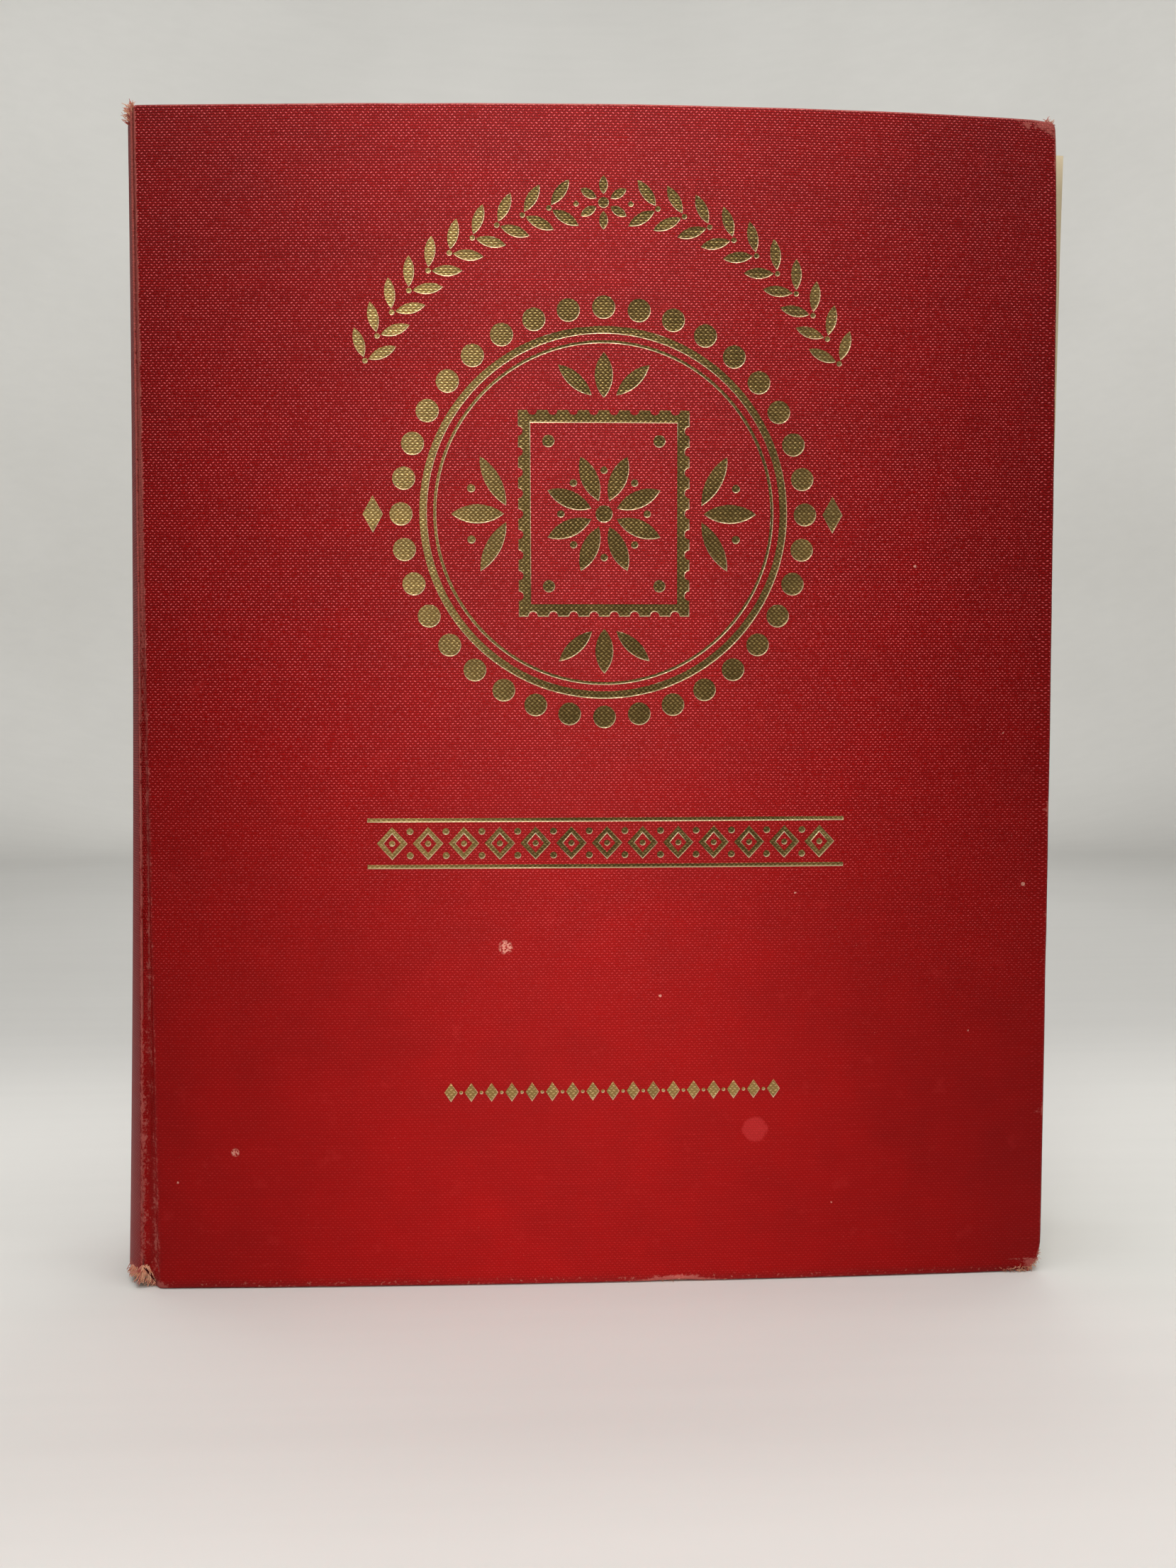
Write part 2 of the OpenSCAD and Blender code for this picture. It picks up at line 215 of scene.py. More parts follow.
# ------------------------------------------------------------------ node helpers
class Nodes:
    def __init__(self, name):
        self.mat = bpy.data.materials.new(name)
        self.mat.use_nodes = True
        self.t = self.mat.node_tree
        self.t.nodes.clear()
        self.out = self.t.nodes.new("ShaderNodeOutputMaterial")
        self.bsdf = self.t.nodes.new("ShaderNodeBsdfPrincipled")
        self.t.links.new(self.bsdf.outputs[0], self.out.inputs[0])

    def new(self, kind, **kw):
        n = self.t.nodes.new(kind)
        for k, v in kw.items():
            setattr(n, k, v)
        return n

    def put(self, socket, value):
        if isinstance(value, bpy.types.NodeSocket):
            self.t.links.new(value, socket)
        else:
            socket.default_value = value

    def math(self, op, a, b=0.0, c=0.0, clampit=False):
        n = self.new("ShaderNodeMath", operation=op, use_clamp=clampit)
        self.put(n.inputs[0], a)
        if len(n.inputs) > 1:
            self.put(n.inputs[1], b)
        if len(n.inputs) > 2:
            self.put(n.inputs[2], c)
        return n.outputs[0]

    def add(self, a, b): return self.math("ADD", a, b)
    def sub(self, a, b): return self.math("SUBTRACT", a, b)
    def mul(self, a, b): return self.math("MULTIPLY", a, b)
    def maxi(self, a, b): return self.math("MAXIMUM", a, b)

    def ramp(self, value, lo, hi, to_lo=0.0, to_hi=1.0, smoothit=True):
        n = self.new("ShaderNodeMapRange")
        n.interpolation_type = "SMOOTHSTEP" if smoothit else "LINEAR"
        self.put(n.inputs[0], value)
        for i, v in enumerate((lo, hi, to_lo, to_hi)):
            self.put(n.inputs[i + 1], v)
        return n.outputs[0]

    def mixc(self, fac, a, b):
        n = self.new("ShaderNodeMix", data_type="RGBA")
        self.put(n.inputs[0], fac)
        self.put(n.inputs[6], a)
        self.put(n.inputs[7], b)
        return n.outputs[2]

    def mixf(self, fac, a, b):
        n = self.new("ShaderNodeMix", data_type="FLOAT")
        self.put(n.inputs[0], fac)
        self.put(n.inputs[2], a)
        self.put(n.inputs[3], b)
        return n.outputs[0]

    def scale_color(self, c, f):
        n = self.new("ShaderNodeVectorMath", operation="SCALE")
        self.put(n.inputs[0], c)
        self.put(n.inputs["Scale"], f)
        return n.outputs[0]

    def noise(self, vec, scale, detail=2.0, rough=0.5):
        n = self.new("ShaderNodeTexNoise")
        self.put(n.inputs["Vector"], vec)
        n.inputs["Scale"].default_value = scale
        n.inputs["Detail"].default_value = detail
        n.inputs["Roughness"].default_value = rough
        return n.outputs["Fac"]

    def attr(self, name):
        n = self.new("ShaderNodeAttribute", attribute_name=name)
        return n.outputs["Fac"]

    def uv_mm(self):
        """The flat cloth or paper coordinates, in mm, as a vector and its two parts."""
        uv = self.new("ShaderNodeUVMap", uv_map="cloth").outputs[0]
        s = self.new("ShaderNodeVectorMath", operation="SCALE")
        self.put(s.inputs[0], uv)
        s.inputs["Scale"].default_value = 1000.0
        sep = self.new("ShaderNodeSeparateXYZ")
        self.put(sep.inputs[0], s.outputs[0])
        return s.outputs[0], sep.outputs[0], sep.outputs[1]

    def obj_mm(self):
        tc = self.new("ShaderNodeTexCoord").outputs["Object"]
        s = self.new("ShaderNodeVectorMath", operation="SCALE")
        self.put(s.inputs[0], tc)
        s.inputs["Scale"].default_value = 1000.0
        sep = self.new("ShaderNodeSeparateXYZ")
        self.put(sep.inputs[0], s.outputs[0])
        return s.outputs[0], sep.outputs[0], sep.outputs[1], sep.outputs[2]

    def spot(self, x, z, cx, cz, r, soft):
        dx, dz = self.sub(x, cx), self.sub(z, cz)
        d = self.math("SQRT", self.add(self.mul(dx, dx), self.mul(dz, dz)))
        return self.ramp(d, r, r + soft, 1.0, 0.0)

    def combine(self, x, y, z=0.0):
        n = self.new("ShaderNodeCombineXYZ")
        self.put(n.inputs[0], x)
        self.put(n.inputs[1], y)
        self.put(n.inputs[2], z)
        return n.outputs[0]

    def bump(self, height, distance_mm, strength=1.0, normal=None):
        n = self.new("ShaderNodeBump")
        n.inputs["Strength"].default_value = strength
        n.inputs["Distance"].default_value = distance_mm * MM
        self.put(n.inputs["Height"], height)
        if normal is not None:
            self.put(n.inputs["Normal"], normal)
        return n.outputs[0]


PITCH = 0.614                              # thread pitch of the book cloth, in mm


def weave(n, vec, x, z, pitch=PITCH, wobble=0.10):
    """Height of a plain weave, 0 to 1, with uneven threads, and a random value per crossing."""
    w1 = n.noise(vec, 0.11, 2.0)
    w2 = n.noise(vec, 0.9, 1.0)
    dx = n.add(n.mul(n.sub(w1, 0.5), wobble * 5), n.mul(n.sub(w2, 0.5), wobble * 1.2))
    w3 = n.noise(n.combine(n.mul(z, 1.0), n.mul(x, 0.12), 3.0), 0.16, 2.0)
    dz = n.mul(n.sub(w3, 0.5), wobble * 4)
    xs = n.math("DIVIDE", n.add(x, dx), pitch)
    zs = n.math("DIVIDE", n.add(z, dz), pitch)
    pz = n.mul(zs, math.pi)
    a = n.math("SINE", pz)
    # the twist of the threads slants each float one way, then the other
    b = n.math("COSINE", n.add(n.mul(xs, math.pi), n.mul(n.math("COSINE", pz), 0.95)))
    ab = n.mul(a, b)
    weft = n.mul(n.add(n.math("ABSOLUTE", a), ab), 0.5)
    warp = n.mul(n.sub(n.math("ABSOLUTE", b), ab), 0.5)
    cell = n.combine(n.math("FLOOR", n.mul(xs, 1.0)), n.math("FLOOR", zs))
    wn = n.new("ShaderNodeTexWhiteNoise", noise_dimensions="2D")
    n.put(wn.inputs["Vector"], cell)
    rnd = wn.outputs["Value"]
    row = n.new("ShaderNodeTexWhiteNoise", noise_dimensions="1D")
    n.put(row.inputs["W"], n.math("FLOOR", zs))
    height = n.maxi(n.mul(weft, n.mixf(row.outputs["Value"], 0.80, 1.08)), n.mul(warp, 0.60))
    return height, rnd, row.outputs["Value"], weft


def cloth_material(name, front_marks=True, red=(0.245, 0.0012, 0.0012), foil=False):
    n = Nodes(name)
    vec, x, z = n.uv_mm()
    h, rnd, row, weft = weave(n, vec, x, z)
    wear = n.attr("wear")
    big = n.noise(vec, 0.018, 3.0)
    mid = n.noise(vec, 0.09, 3.0)
    fine = n.noise(vec, 2.4, 2.0)
    streak = n.noise(n.combine(n.mul(x, 0.10), z, 1.0), 1.3, 2.0)
    # stronger weave toward the head, smoother toward the tail; the same ramp makes the painted highlights and painted
    # shade on the threads stronger toward the head
    head_soft = n.ramp(z, 60.0, 250.0, 0.3, 1.0)
    head_weave_and_highlight = n.ramp(n.add(z, n.mul(n.sub(big, 0.5), 60.0)), 40.0, 205.0, 0.06, 1.0)
    # colour
    base = n.mixc(n.ramp(big, 0.35, 0.65), tuple(0.94 * c for c in red) + (1,), tuple(1.05 * c for c in red) + (1,))
    base = n.scale_color(base, n.mixf(n.ramp(mid, 0.3, 0.7), 0.96, 1.04))
    # painted shade in the weave's valleys and painted highlight on its tops, both stronger toward the head
    painted_weave_shade = n.mixf(n.ramp(h, 0.15, 0.80), n.mixf(head_weave_and_highlight, 0.76, 0.36), n.mixf(head_weave_and_highlight, 0.95, 1.12))
    base = n.scale_color(base, painted_weave_shade)
    # painted highlight: pale pink on the weft floats at random crossings, stronger toward the head
    painted_thread_highlight = n.mul(n.mul(n.ramp(weft, 0.62, 0.96), n.ramp(rnd, 0.12, 0.62)), head_weave_and_highlight)
    base = n.mixc(n.mul(painted_thread_highlight, 0.82), base, (0.76, 0.140, 0.150, 1))
    base = n.mixc(n.mul(n.mul(n.ramp(streak, 0.58, 0.74), weft), 0.14), base, (0.46, 0.028, 0.026, 1))
    marks = None
    if front_marks:
        ox = X_BE
        dust = n.mul(n.ramp(fine, 0.71, 0.77), n.ramp(n.noise(vec, 0.05, 2.0), 0.50, 0.70))
        base = n.mixc(n.mul(dust, 0.55), base, (0.55, 0.22, 0.17, 1))
        rub = n.mul(n.ramp(n.noise(vec, 0.13, 4.0, 0.6), 0.60, 0.74), 0.20)
        base = n.mixc(rub, base, (0.32, 0.014, 0.013, 1))
        # a round faded spot, a scuff through to the thread, small nicks
        edge = n.mul(n.sub(n.noise(vec, 0.5, 2.0), 0.5), 2.2)
        sp = n.spot(n.add(x, edge), z, ox + 151.2, 39.5, 2.7, 0.9)
        base = n.mixc(n.mul(sp, 0.30), base, (0.44, 0.035, 0.035, 1))
        rag = n.ramp(n.noise(vec, 1.7, 3.0), 0.40, 0.56)
        scuff = n.mul(n.spot(n.add(x, n.mul(edge, 0.6)), n.mul(z, 1.0), ox + 88.1, 86.9, 1.1, 0.9), rag)
        marks = n.maxi(scuff, n.mul(n.spot(x, z, ox + 19.9, 35.1, 0.7, 0.5), rag))
        jag = n.mul(n.sub(n.noise(vec, 1.6, 2.0), 0.5), 0.9)
        for mx, mz, r, s in ((190.7, 181.6, 0.22, 0.25), (126.9, 74.2, 0.20, 0.25), (219.9, 101.5, 0.30, 0.3),
                             (206.0, 64.0, 0.10, 0.2), (171.0, 20.0, 0.12, 0.2), (5.3, 27.5, 0.18, 0.2),
                             (161.0, 100.0, 0.08, 0.2), (214.0, 140.0, 0.12, 0.2)):
            marks = n.maxi(marks, n.spot(n.add(x, jag), z, ox + mx, mz, r, s))
        # a short crease over the blunted tail corner
        cl = n.mul(n.ramp(n.math("ABSOLUTE", n.sub(z, n.add(3.5, n.mul(jag, 0.7)))), 0.04, 0.20, 1.0, 0.0),
                   n.mul(n.ramp(x, ox + 217.0, ox + 221.0), n.ramp(n.noise(vec, 1.3, 2.0), 0.40, 0.54)))
        marks = n.maxi(marks, n.mul(cl, 0.45))
        # flecks along the tail
        fl = n.mul(n.ramp(z, 0.4, 2.6, 1.0, 0.0), n.ramp(n.noise(vec, 1.1, 2.0), 0.60, 0.68))
        marks = n.maxi(marks, n.mul(fl, 0.5))
        base = n.mixc(n.mul(marks, 0.75), base, (0.56, 0.25, 0.19, 1))
    # wear: rubbed pink at first, then bare threads and board
    nz = n.noise(vec, 1.15, 4.0, 0.62)
    nz2 = n.noise(vec, 0.30, 3.0, 0.55)
    lim = n.sub(1.02, n.mul(wear, 0.62))
    rubbed = n.ramp(n.add(n.mul(nz, 0.6), n.mul(nz2, 0.4)), n.sub(lim, 0.30), n.sub(lim, 0.14))
    base = n.mixc(n.mul(rubbed, 0.62), base, (0.42, 0.115, 0.095, 1))
    bare = n.ramp(n.add(nz, n.mul(n.sub(wear, 0.8), 1.1)), 0.62, 0.74)
    bare = n.mul(bare, n.ramp(wear, 0.42, 0.62))
    base = n.mixc(n.mul(bare, 0.85), base, n.mixc(n.ramp(fine, 0.35, 0.65), (0.50, 0.22, 0.13, 1), (0.74, 0.46, 0.32, 1)))
    # painted shade on the edges' thickness and turn-ins and along the front cover's tail, darkening in the hollow of
    # the joints, and random soiling on the spine
    soil_and_shade = n.attr("soil_and_shade")
    base = n.mixc(n.mul(soil_and_shade, 0.55), base, (0.045, 0.009, 0.008, 1))
    n.put(n.bsdf.inputs["Base Color"], base)
    rough = n.mixf(h, 0.60, 0.44)
    rough = n.mixf(n.mul(rubbed, 0.7), rough, 0.72)
    rough = n.add(rough, n.mul(n.sub(mid, 0.5), 0.10))
    n.put(n.bsdf.inputs["Roughness"], rough)
    n.bsdf.inputs["Specular IOR Level"].default_value = 0.165
    n.bsdf.inputs["Specular Tint"].default_value = (1.0, 0.22, 0.22, 1)
    n.bsdf.inputs["Coat Weight"].default_value = 0.062
    n.put(n.bsdf.inputs["Coat Roughness"], n.mixf(n.mul(rubbed, 0.8), 0.46, 0.75))
    b0 = n.bump(n.noise(vec, 0.055, 3.0), 0.9, 0.22)
    b1 = n.bump(n.mul(h, n.mixf(head_weave_and_highlight, 0.35, 1.0)), 0.17, 0.85, b0)
    hh = n.add(n.mul(nz, rubbed), n.mul(fine, 0.35))
    b2 = n.bump(hh, 0.09, 0.6, b1)
    n.put(n.bsdf.inputs["Normal"], b2)
    # the starch filling lies flatter than the threads
    n.put(n.bsdf.inputs["Coat Normal"], n.bump(n.mul(h, head_weave_and_highlight), 0.05, 0.7, b0))
    return n.mat


def foil_material():
    n = Nodes("gold_foil_on_cloth")
    vec, x, z = n.uv_mm()
    h, rnd, row, weft = weave(n, vec, x, z)
    fine = n.noise(vec, 3.2, 3.0)
    mid = n.noise(vec, 0.10, 3.0)
    lip = n.ramp(n.attr("lip"), 0.15, 0.62)
    # painted reflection: dark olive over the middle and right, bright gold at the upper left, at the foot and a little
    # at the far right
    u = n.sub(x, X_BE)
    left_reflection = n.ramp(n.add(u, n.mul(n.sub(mid, 0.5), 26.0)), 62.0, 104.0, 1.0, 0.0)
    foot = n.ramp(z, 58.0, 84.0, 1.0, 0.0)
    painted_reflection = n.maxi(n.mul(left_reflection, 0.85), foot)
    painted_reflection = n.maxi(painted_reflection, n.mul(n.ramp(u, 150.0, 176.0), 0.35))
    # painted highlight on the weft floats under the foil, at random crossings
    grain = n.mul(n.ramp(weft, 0.25, 0.85), n.mixf(rnd, 0.35, 1.0))
    foil_in_dark_reflection = n.mixc(grain, (0.125, 0.078, 0.024, 1), (0.46, 0.325, 0.125, 1))
    foil_in_bright_reflection = n.mixc(grain, (0.40, 0.255, 0.085, 1), (0.92, 0.70, 0.33, 1))
    col = n.mixc(painted_reflection, foil_in_dark_reflection, foil_in_bright_reflection)
    col = n.scale_color(col, n.mixf(n.ramp(mid, 0.3, 0.7), 0.85, 1.2))
    # painted highlight: pale cream on the rims, strongest on the lower and right-hand rims, from the lip attribute
    col = n.mixc(n.mul(lip, 0.92), col, (0.98, 0.80, 0.50, 1))
    thin = n.mul(n.ramp(fine, 0.64, 0.73), n.ramp(n.noise(vec, 0.21, 2.0), 0.45, 0.60))
    thin = n.mul(thin, n.sub(1.0, lip))
    col = n.mixc(n.mul(thin, 0.70), col, (0.16, 0.03, 0.02, 1))
    n.put(n.bsdf.inputs["Base Color"], col)
    n.put(n.bsdf.inputs["Metallic"], n.mixf(thin, 0.95, 0.3))
    n.put(n.bsdf.inputs["Roughness"], n.mixf(lip, n.mixf(h, 0.42, 0.30), 0.34))
    b0 = n.bump(n.noise(vec, 0.09, 3.0), 0.5, 0.25)
    b1 = n.bump(h, 0.13, 0.70, b0)
    b2 = n.bump(fine, 0.03, 0.5, b1)
    n.put(n.bsdf.inputs["Normal"], b2)
    return n.mat


def paper_material(name, color, printed=False, edge_tone=True, grain=1.0):
    n = Nodes(name)
    vec, x, z = n.uv_mm()
    fibre = n.noise(n.combine(n.mul(x, 0.5), z, 0.0), 1.6, 4.0, 0.6)
    big = n.noise(vec, 0.02, 3.0)
    tone = n.attr("tone")
    c = n.mixc(n.ramp(big, 0.3, 0.7), tuple(0.93 * v for v in color) + (1,), tuple(min(1.0, 1.04 * v) for v in color) + (1,))
    c = n.scale_color(c, n.mixf(fibre, 0.955, 1.03))
    c = n.scale_color(c, n.mixf(tone, 0.90, 1.06))
    edge = n.attr("edge")
    if edge_tone:
        e = n.mul(n.ramp(n.add(edge, n.mul(n.sub(n.noise(vec, 0.09, 3.0), 0.5), 0.8)), 0.35, 1.0), 0.55)
        c = n.mixc(e, c, tuple(v * f for v, f in zip(color, (0.80, 0.68, 0.50))) + (1,))
    fox = n.mul(n.ramp(n.noise(vec, 0.22, 2.0), 0.68, 0.75), n.ramp(n.noise(vec, 0.03, 2.0), 0.5, 0.66))
    c = n.mixc(n.mul(fox, 0.30), c, (0.42, 0.25, 0.11, 1))
    if printed:
        # a generic printed page: quadrille ground, double border, plain frames
        L, R_, B_, T_ = 16.0, 205.0, 14.0, 270.0

        def line(v, at, half):
            return n.ramp(n.math("ABSOLUTE", n.sub(v, at)), half, half + 0.10, 1.0, 0.0)

        def inside(v, a, b):
            return n.mul(n.math("GREATER_THAN", v, a), n.math("LESS_THAN", v, b))

        inx, inz = inside(x, L, R_), inside(z, B_, T_)
        inbox = n.mul(inx, inz)

        def comb(v, start, step, half):
            m = n.math("MODULO", n.add(n.sub(v, start), 1000 * step + step / 2), step)
            return n.ramp(n.math("ABSOLUTE", n.sub(m, step / 2)), half, half + 0.09, 1.0, 0.0)

        quad = n.mul(n.maxi(comb(x, L, 4.5, 0.04), comb(z, B_, 4.571, 0.04)), inbox)
        c = n.mixc(n.mul(quad, 0.26), c, (0.46, 0.47, 0.46, 1))
        border = n.mul(n.maxi(line(x, L, 0.28), line(x, R_, 0.28)), inz)
        border = n.maxi(border, n.mul(n.maxi(line(z, B_, 0.28), line(z, T_, 0.28)), inx))
        inz2, inx2 = inside(z, B_ + 1.3, T_ - 1.3), inside(x, L + 1.3, R_ - 1.3)
        border = n.maxi(border, n.mul(n.maxi(line(x, L + 1.4, 0.1), line(x, R_ - 1.4, 0.1)), inz2))
        border = n.maxi(border, n.mul(n.maxi(line(z, B_ + 1.4, 0.1), line(z, T_ - 1.4, 0.1)), inx2))
        # frames for stamps: five rows, four across, each 27 x 32 mm
        mx = n.math("MODULO", n.add(n.sub(x, L + 10.5), 420.0), 42.0)
        mz = n.math("MODULO", n.add(n.sub(z, B_ + 12.0), 480.0), 48.0)
        fx, fz = inside(mx, 0.0, 27.0), inside(mz, 0.0, 32.0)
        fr = n.maxi(n.mul(n.maxi(line(mx, 0.2, 0.11), line(mx, 27.0, 0.11)), n.mul(fz, 1.0)),
                    n.mul(n.maxi(line(mz, 0.2, 0.11), line(mz, 32.0, 0.11)), n.mul(fx, 1.0)))
        fr = n.mul(fr, n.mul(inside(x, L + 8, L + 165.5), inside(z, B_ + 8, T_ - 8)))
        c = n.mixc(n.mul(n.maxi(border, fr), 0.80), c, (0.10, 0.095, 0.09, 1))
    n.put(n.bsdf.inputs["Base Color"], c)
    n.put(n.bsdf.inputs["Roughness"], n.mixf(fibre, 0.92, 0.78))
    n.bsdf.inputs["Specular IOR Level"].default_value = 0.28
    b0 = n.bump(n.noise(vec, 0.05, 3.0), 0.6, 0.25)
    b1 = n.bump(fibre, 0.035 * grain, 0.7, b0)
    n.put(n.bsdf.inputs["Normal"], b1)
    return n.mat


def solid_material(name, color, dark, scale=1.5, stretch=(1, 1, 1), bump=0.06, rough=0.85, weave_pitch=None, open_weave=False):
    """For CAD pieces without flat coordinates: fibres, or a weave, from the object's own coordinates."""
    n = Nodes(name)
    vec, x, y, z = n.obj_mm()
    st = n.combine(n.mul(x, stretch[0]), n.mul(y, stretch[1]), n.mul(z, stretch[2]))
    f = n.noise(st, scale, 4.0, 0.6)
    big = n.noise(vec, 0.06, 2.0)
    c = n.mixc(n.ramp(f, 0.3, 0.7), dark + (1,), color + (1,))
    c = n.scale_color(c, n.mixf(big, 0.9, 1.1))
    height = f
    if weave_pitch:
        a = n.math("ABSOLUTE", n.math("SINE", n.mul(n.add(y, n.mul(x, 0.3)), math.pi / weave_pitch)))
        b = n.math("ABSOLUTE", n.math("SINE", n.mul(z, math.pi / weave_pitch)))
        height = n.add(n.mul(n.maxi(a, b), 0.8), n.mul(f, 0.2))
        # painted shade in the gaps between the threads
        c = n.scale_color(c, n.mixf(n.maxi(a, b), 0.55 if open_weave else 0.75, 1.05))
    n.put(n.bsdf.inputs["Base Color"], c)
    n.put(n.bsdf.inputs["Roughness"], n.mixf(f, rough, rough - 0.12))
    n.bsdf.inputs["Specular IOR Level"].default_value = 0.3
    n.put(n.bsdf.inputs["Normal"], n.bump(height, bump, 0.8))
    return n.mat


def thread_material(name, c1, c2):
    n = Nodes(name)
    vec, x, y, z = n.obj_mm()
    f = n.noise(vec, 0.55, 2.0)
    g = n.noise(vec, 6.0, 2.0)
    c = n.mixc(n.ramp(f, 0.38, 0.62), c1 + (1,), c2 + (1,))
    c = n.scale_color(c, n.mixf(g, 0.8, 1.15))
    n.put(n.bsdf.inputs["Base Color"], c)
    n.bsdf.inputs["Roughness"].default_value = 0.8
    n.bsdf.inputs["Specular IOR Level"].default_value = 0.25
    n.bsdf.inputs["Sheen Weight"].default_value = 0.2
    n.put(n.bsdf.inputs["Normal"], n.bump(g, 0.05, 0.7))
    return n.mat


CLOTH_F = cloth_material("red_book_cloth_front", True)
CLOTH_B = cloth_material("red_book_cloth", False)
FOIL = foil_material()
ENDPAPER = paper_material("endpaper", (0.70, 0.62, 0.47), False)
LEAF = paper_material("album_leaf_printed", (0.77, 0.71, 0.58), True)
BLOCK = paper_material("album_paper", (0.76, 0.69, 0.55), False)
BOARD = solid_material("millboard", (0.50, 0.33, 0.20), (0.34, 0.22, 0.13), 1.6, (1, 2.5, 1), 0.12, 0.92)
KRAFT = solid_material("kraft_lining", (0.42, 0.27, 0.14), (0.33, 0.20, 0.10), 1.2, (1, 1, 0.3), 0.05, 0.85)
LINEN = solid_material("linen_guard", (0.66, 0.57, 0.42), (0.52, 0.44, 0.31), 1.2, (1, 1, 1), 0.08, 0.9, 0.5)
MULL = solid_material("mull_gauze", (0.70, 0.64, 0.52), (0.50, 0.43, 0.32), 1.2, (1, 1, 1), 0.12, 0.9, 1.1, True)
THREAD = solid_material("sewing_thread_linen", (0.72, 0.65, 0.52), (0.55, 0.48, 0.36), 2.5, (1, 1, 3), 0.06, 0.8)
FRAY = thread_material("frayed_thread", (0.56, 0.20, 0.11), (0.68, 0.36, 0.22))
FRAY_RED = thread_material("frayed_red_thread", (0.40, 0.06, 0.04), (0.55, 0.17, 0.12))


# ------------------------------------------------------------------ foil outlines, flat, from the board's joint edge
def arc_pts(cx, cz, r, a0, a1, n):
    return [(cx + r * math.cos(math.radians(mix(a0, a1, k / n))), cz + r * math.sin(math.radians(mix(a0, a1, k / n)))) for k in range(n + 1)]


def circle_loop(cx, cz, r, n=20):
    return arc_pts(cx, cz, r, 0, 360, n)[:-1]


def lens_loop(ox, oz, ang, length, wid, n=9):
    r = (length * length / 4 + wid * wid / 4) / wid
    half = math.degrees(math.asin(length / 2 / r))
    up = arc_pts(length / 2, -(r - wid / 2), r, 90 - half, 90 + half, n)
    dn = arc_pts(length / 2, (r - wid / 2), r, -90 - half, -90 + half, n)
    pts = up + dn[1:-1]
    c, s = math.cos(math.radians(ang)), math.sin(math.radians(ang))
    return [(ox + p[0] * c - p[1] * s, oz + p[0] * s + p[1] * c) for p in pts]


def turn(points, ang, ox, oz):
    c, s = math.cos(math.radians(ang)), math.sin(math.radians(ang))
    return [(ox + p[0] * c - p[1] * s, oz + p[0] * s + p[1] * c) for p in points]


def lozenge_loop(cx, cz, w, h):
    return [(cx - w / 2, cz), (cx, cz - h / 2), (cx + w / 2, cz), (cx, cz + h / 2)]


def box_loop(x0, z0, x1, z1, step=8.0):
    pts = []
    for (ax, az), (bx, bz) in (((x0, z0), (x1, z0)), ((x1, z0), (x1, z1)), ((x1, z1), (x0, z1)), ((x0, z1), (x0, z0))):
        k = max(1, int(round(math.hypot(bx - ax, bz - az) / step)))
        pts += [(mix(ax, bx, i / k), mix(az, bz, i / k)) for i in range(k)]
    return pts


def stamp_loop(cx, cz, hw, hh, r):
    """A plain perforated label's outline: a rectangle with half-round bites."""
    pts = []
    for i in range(8):
        x = -17.5 + 5 * i
        pts += arc_pts(cx + x, cz - hh, r, 180, 0, 6)
    for i in range(9):
        y = -20 + 5 * i
        pts += arc_pts(cx + hw, cz + y, r, 270, 90, 6)
    for i in range(8):
        x = 17.5 - 5 * i
        pts += arc_pts(cx + x, cz + hh, r, 0, -180, 6)
    for i in range(9):
        y = 20 - 5 * i
        pts += arc_pts(cx - hw, cz + y, r, 90, -90, 6)
    out = []
    corners = {0: None}
    # put the square corners back in, between the sides
    n1, n2, n3 = 8 * 7, 9 * 7, 8 * 7
    out = pts[:n1] + [(cx + hw, cz - hh)] + pts[n1:n1 + n2] + [(cx + hw, cz + hh)] + pts[n1 + n2:n1 + n2 + n3] + \
        [(cx - hw, cz + hh)] + pts[n1 + n2 + n3:] + [(cx - hw, cz - hh)]
    return out


def area2(loop):
    return sum(a[0] * b[1] - b[0] * a[1] for a, b in zip(loop, loop[1:] + loop[:1]))


def inset(loop, d):
    """Moves each corner inward of a counter-clockwise loop by d (outward if d is negative)."""
    out = []
    n = len(loop)
    for i in range(n):
        p0, p1, p2 = loop[i - 1], loop[i], loop[(i + 1) % n]
        e1 = (p1[0] - p0[0], p1[1] - p0[1])
        e2 = (p2[0] - p1[0], p2[1] - p1[1])
        l1, l2 = math.hypot(*e1) or 1e-9, math.hypot(*e2) or 1e-9
        n1, n2 = (-e1[1] / l1, e1[0] / l1), (-e2[1] / l2, e2[0] / l2)
        bx, bz = n1[0] + n2[0], n1[1] + n2[1]
        q = bx * bx + bz * bz
        if q < 1e-9:
            bx, bz, k = n1[0], n1[1], 1.0
        else:
            k = min(2.0 / q, 1.9)
        out.append((p1[0] + bx * k * d, p1[1] + bz * k * d))
    return out


MX, MZ = 113.0, 194.0
shapes = []                                # (group, outer loop, [hole loops])


def shape(group, outer, holes=()):
    if area2(outer) < 0:
        outer = outer[::-1]
    shapes.append((group, outer, [h if area2(h) > 0 else h[::-1] for h in holes]))


for a in range(24, 157, 6):                # garland over the medallion
    side = 1 if a < 90 else -1
    ox, oz = turn([(63.5, 0)], a, MX, 205.0)[0]
    if abs(a - 90) > 4:
        for m in ((-1, 1) if abs(a - 90) > 10 else ()):
            ang = a + side * 90 + side * 42 * m
            px, pz = turn([(0.9, 0)], ang, ox, oz)[0]
            shape("foil_garland", lens_loop(px, pz, ang, 7.4, 2.6))
        shape("foil_garland", circle_loop(ox, oz, 0.65, 12))
    else:
        shape("foil_garland", circle_loop(ox, oz, 1.3, 14))
        for b in range(0, 360, 60):
            px, pz = turn([(2.0, 0)], a + b, ox, oz)[0]
            shape("foil_garland", lens_loop(px, pz, a + b, 4.4, 2.1, 7))
for a in range(0, 360, 10):                # ring of pearls
    px, pz = turn([(49.7, 0)], a, MX, MZ)[0]
    shape("foil_medallion", circle_loop(px, pz, 2.8, 26))
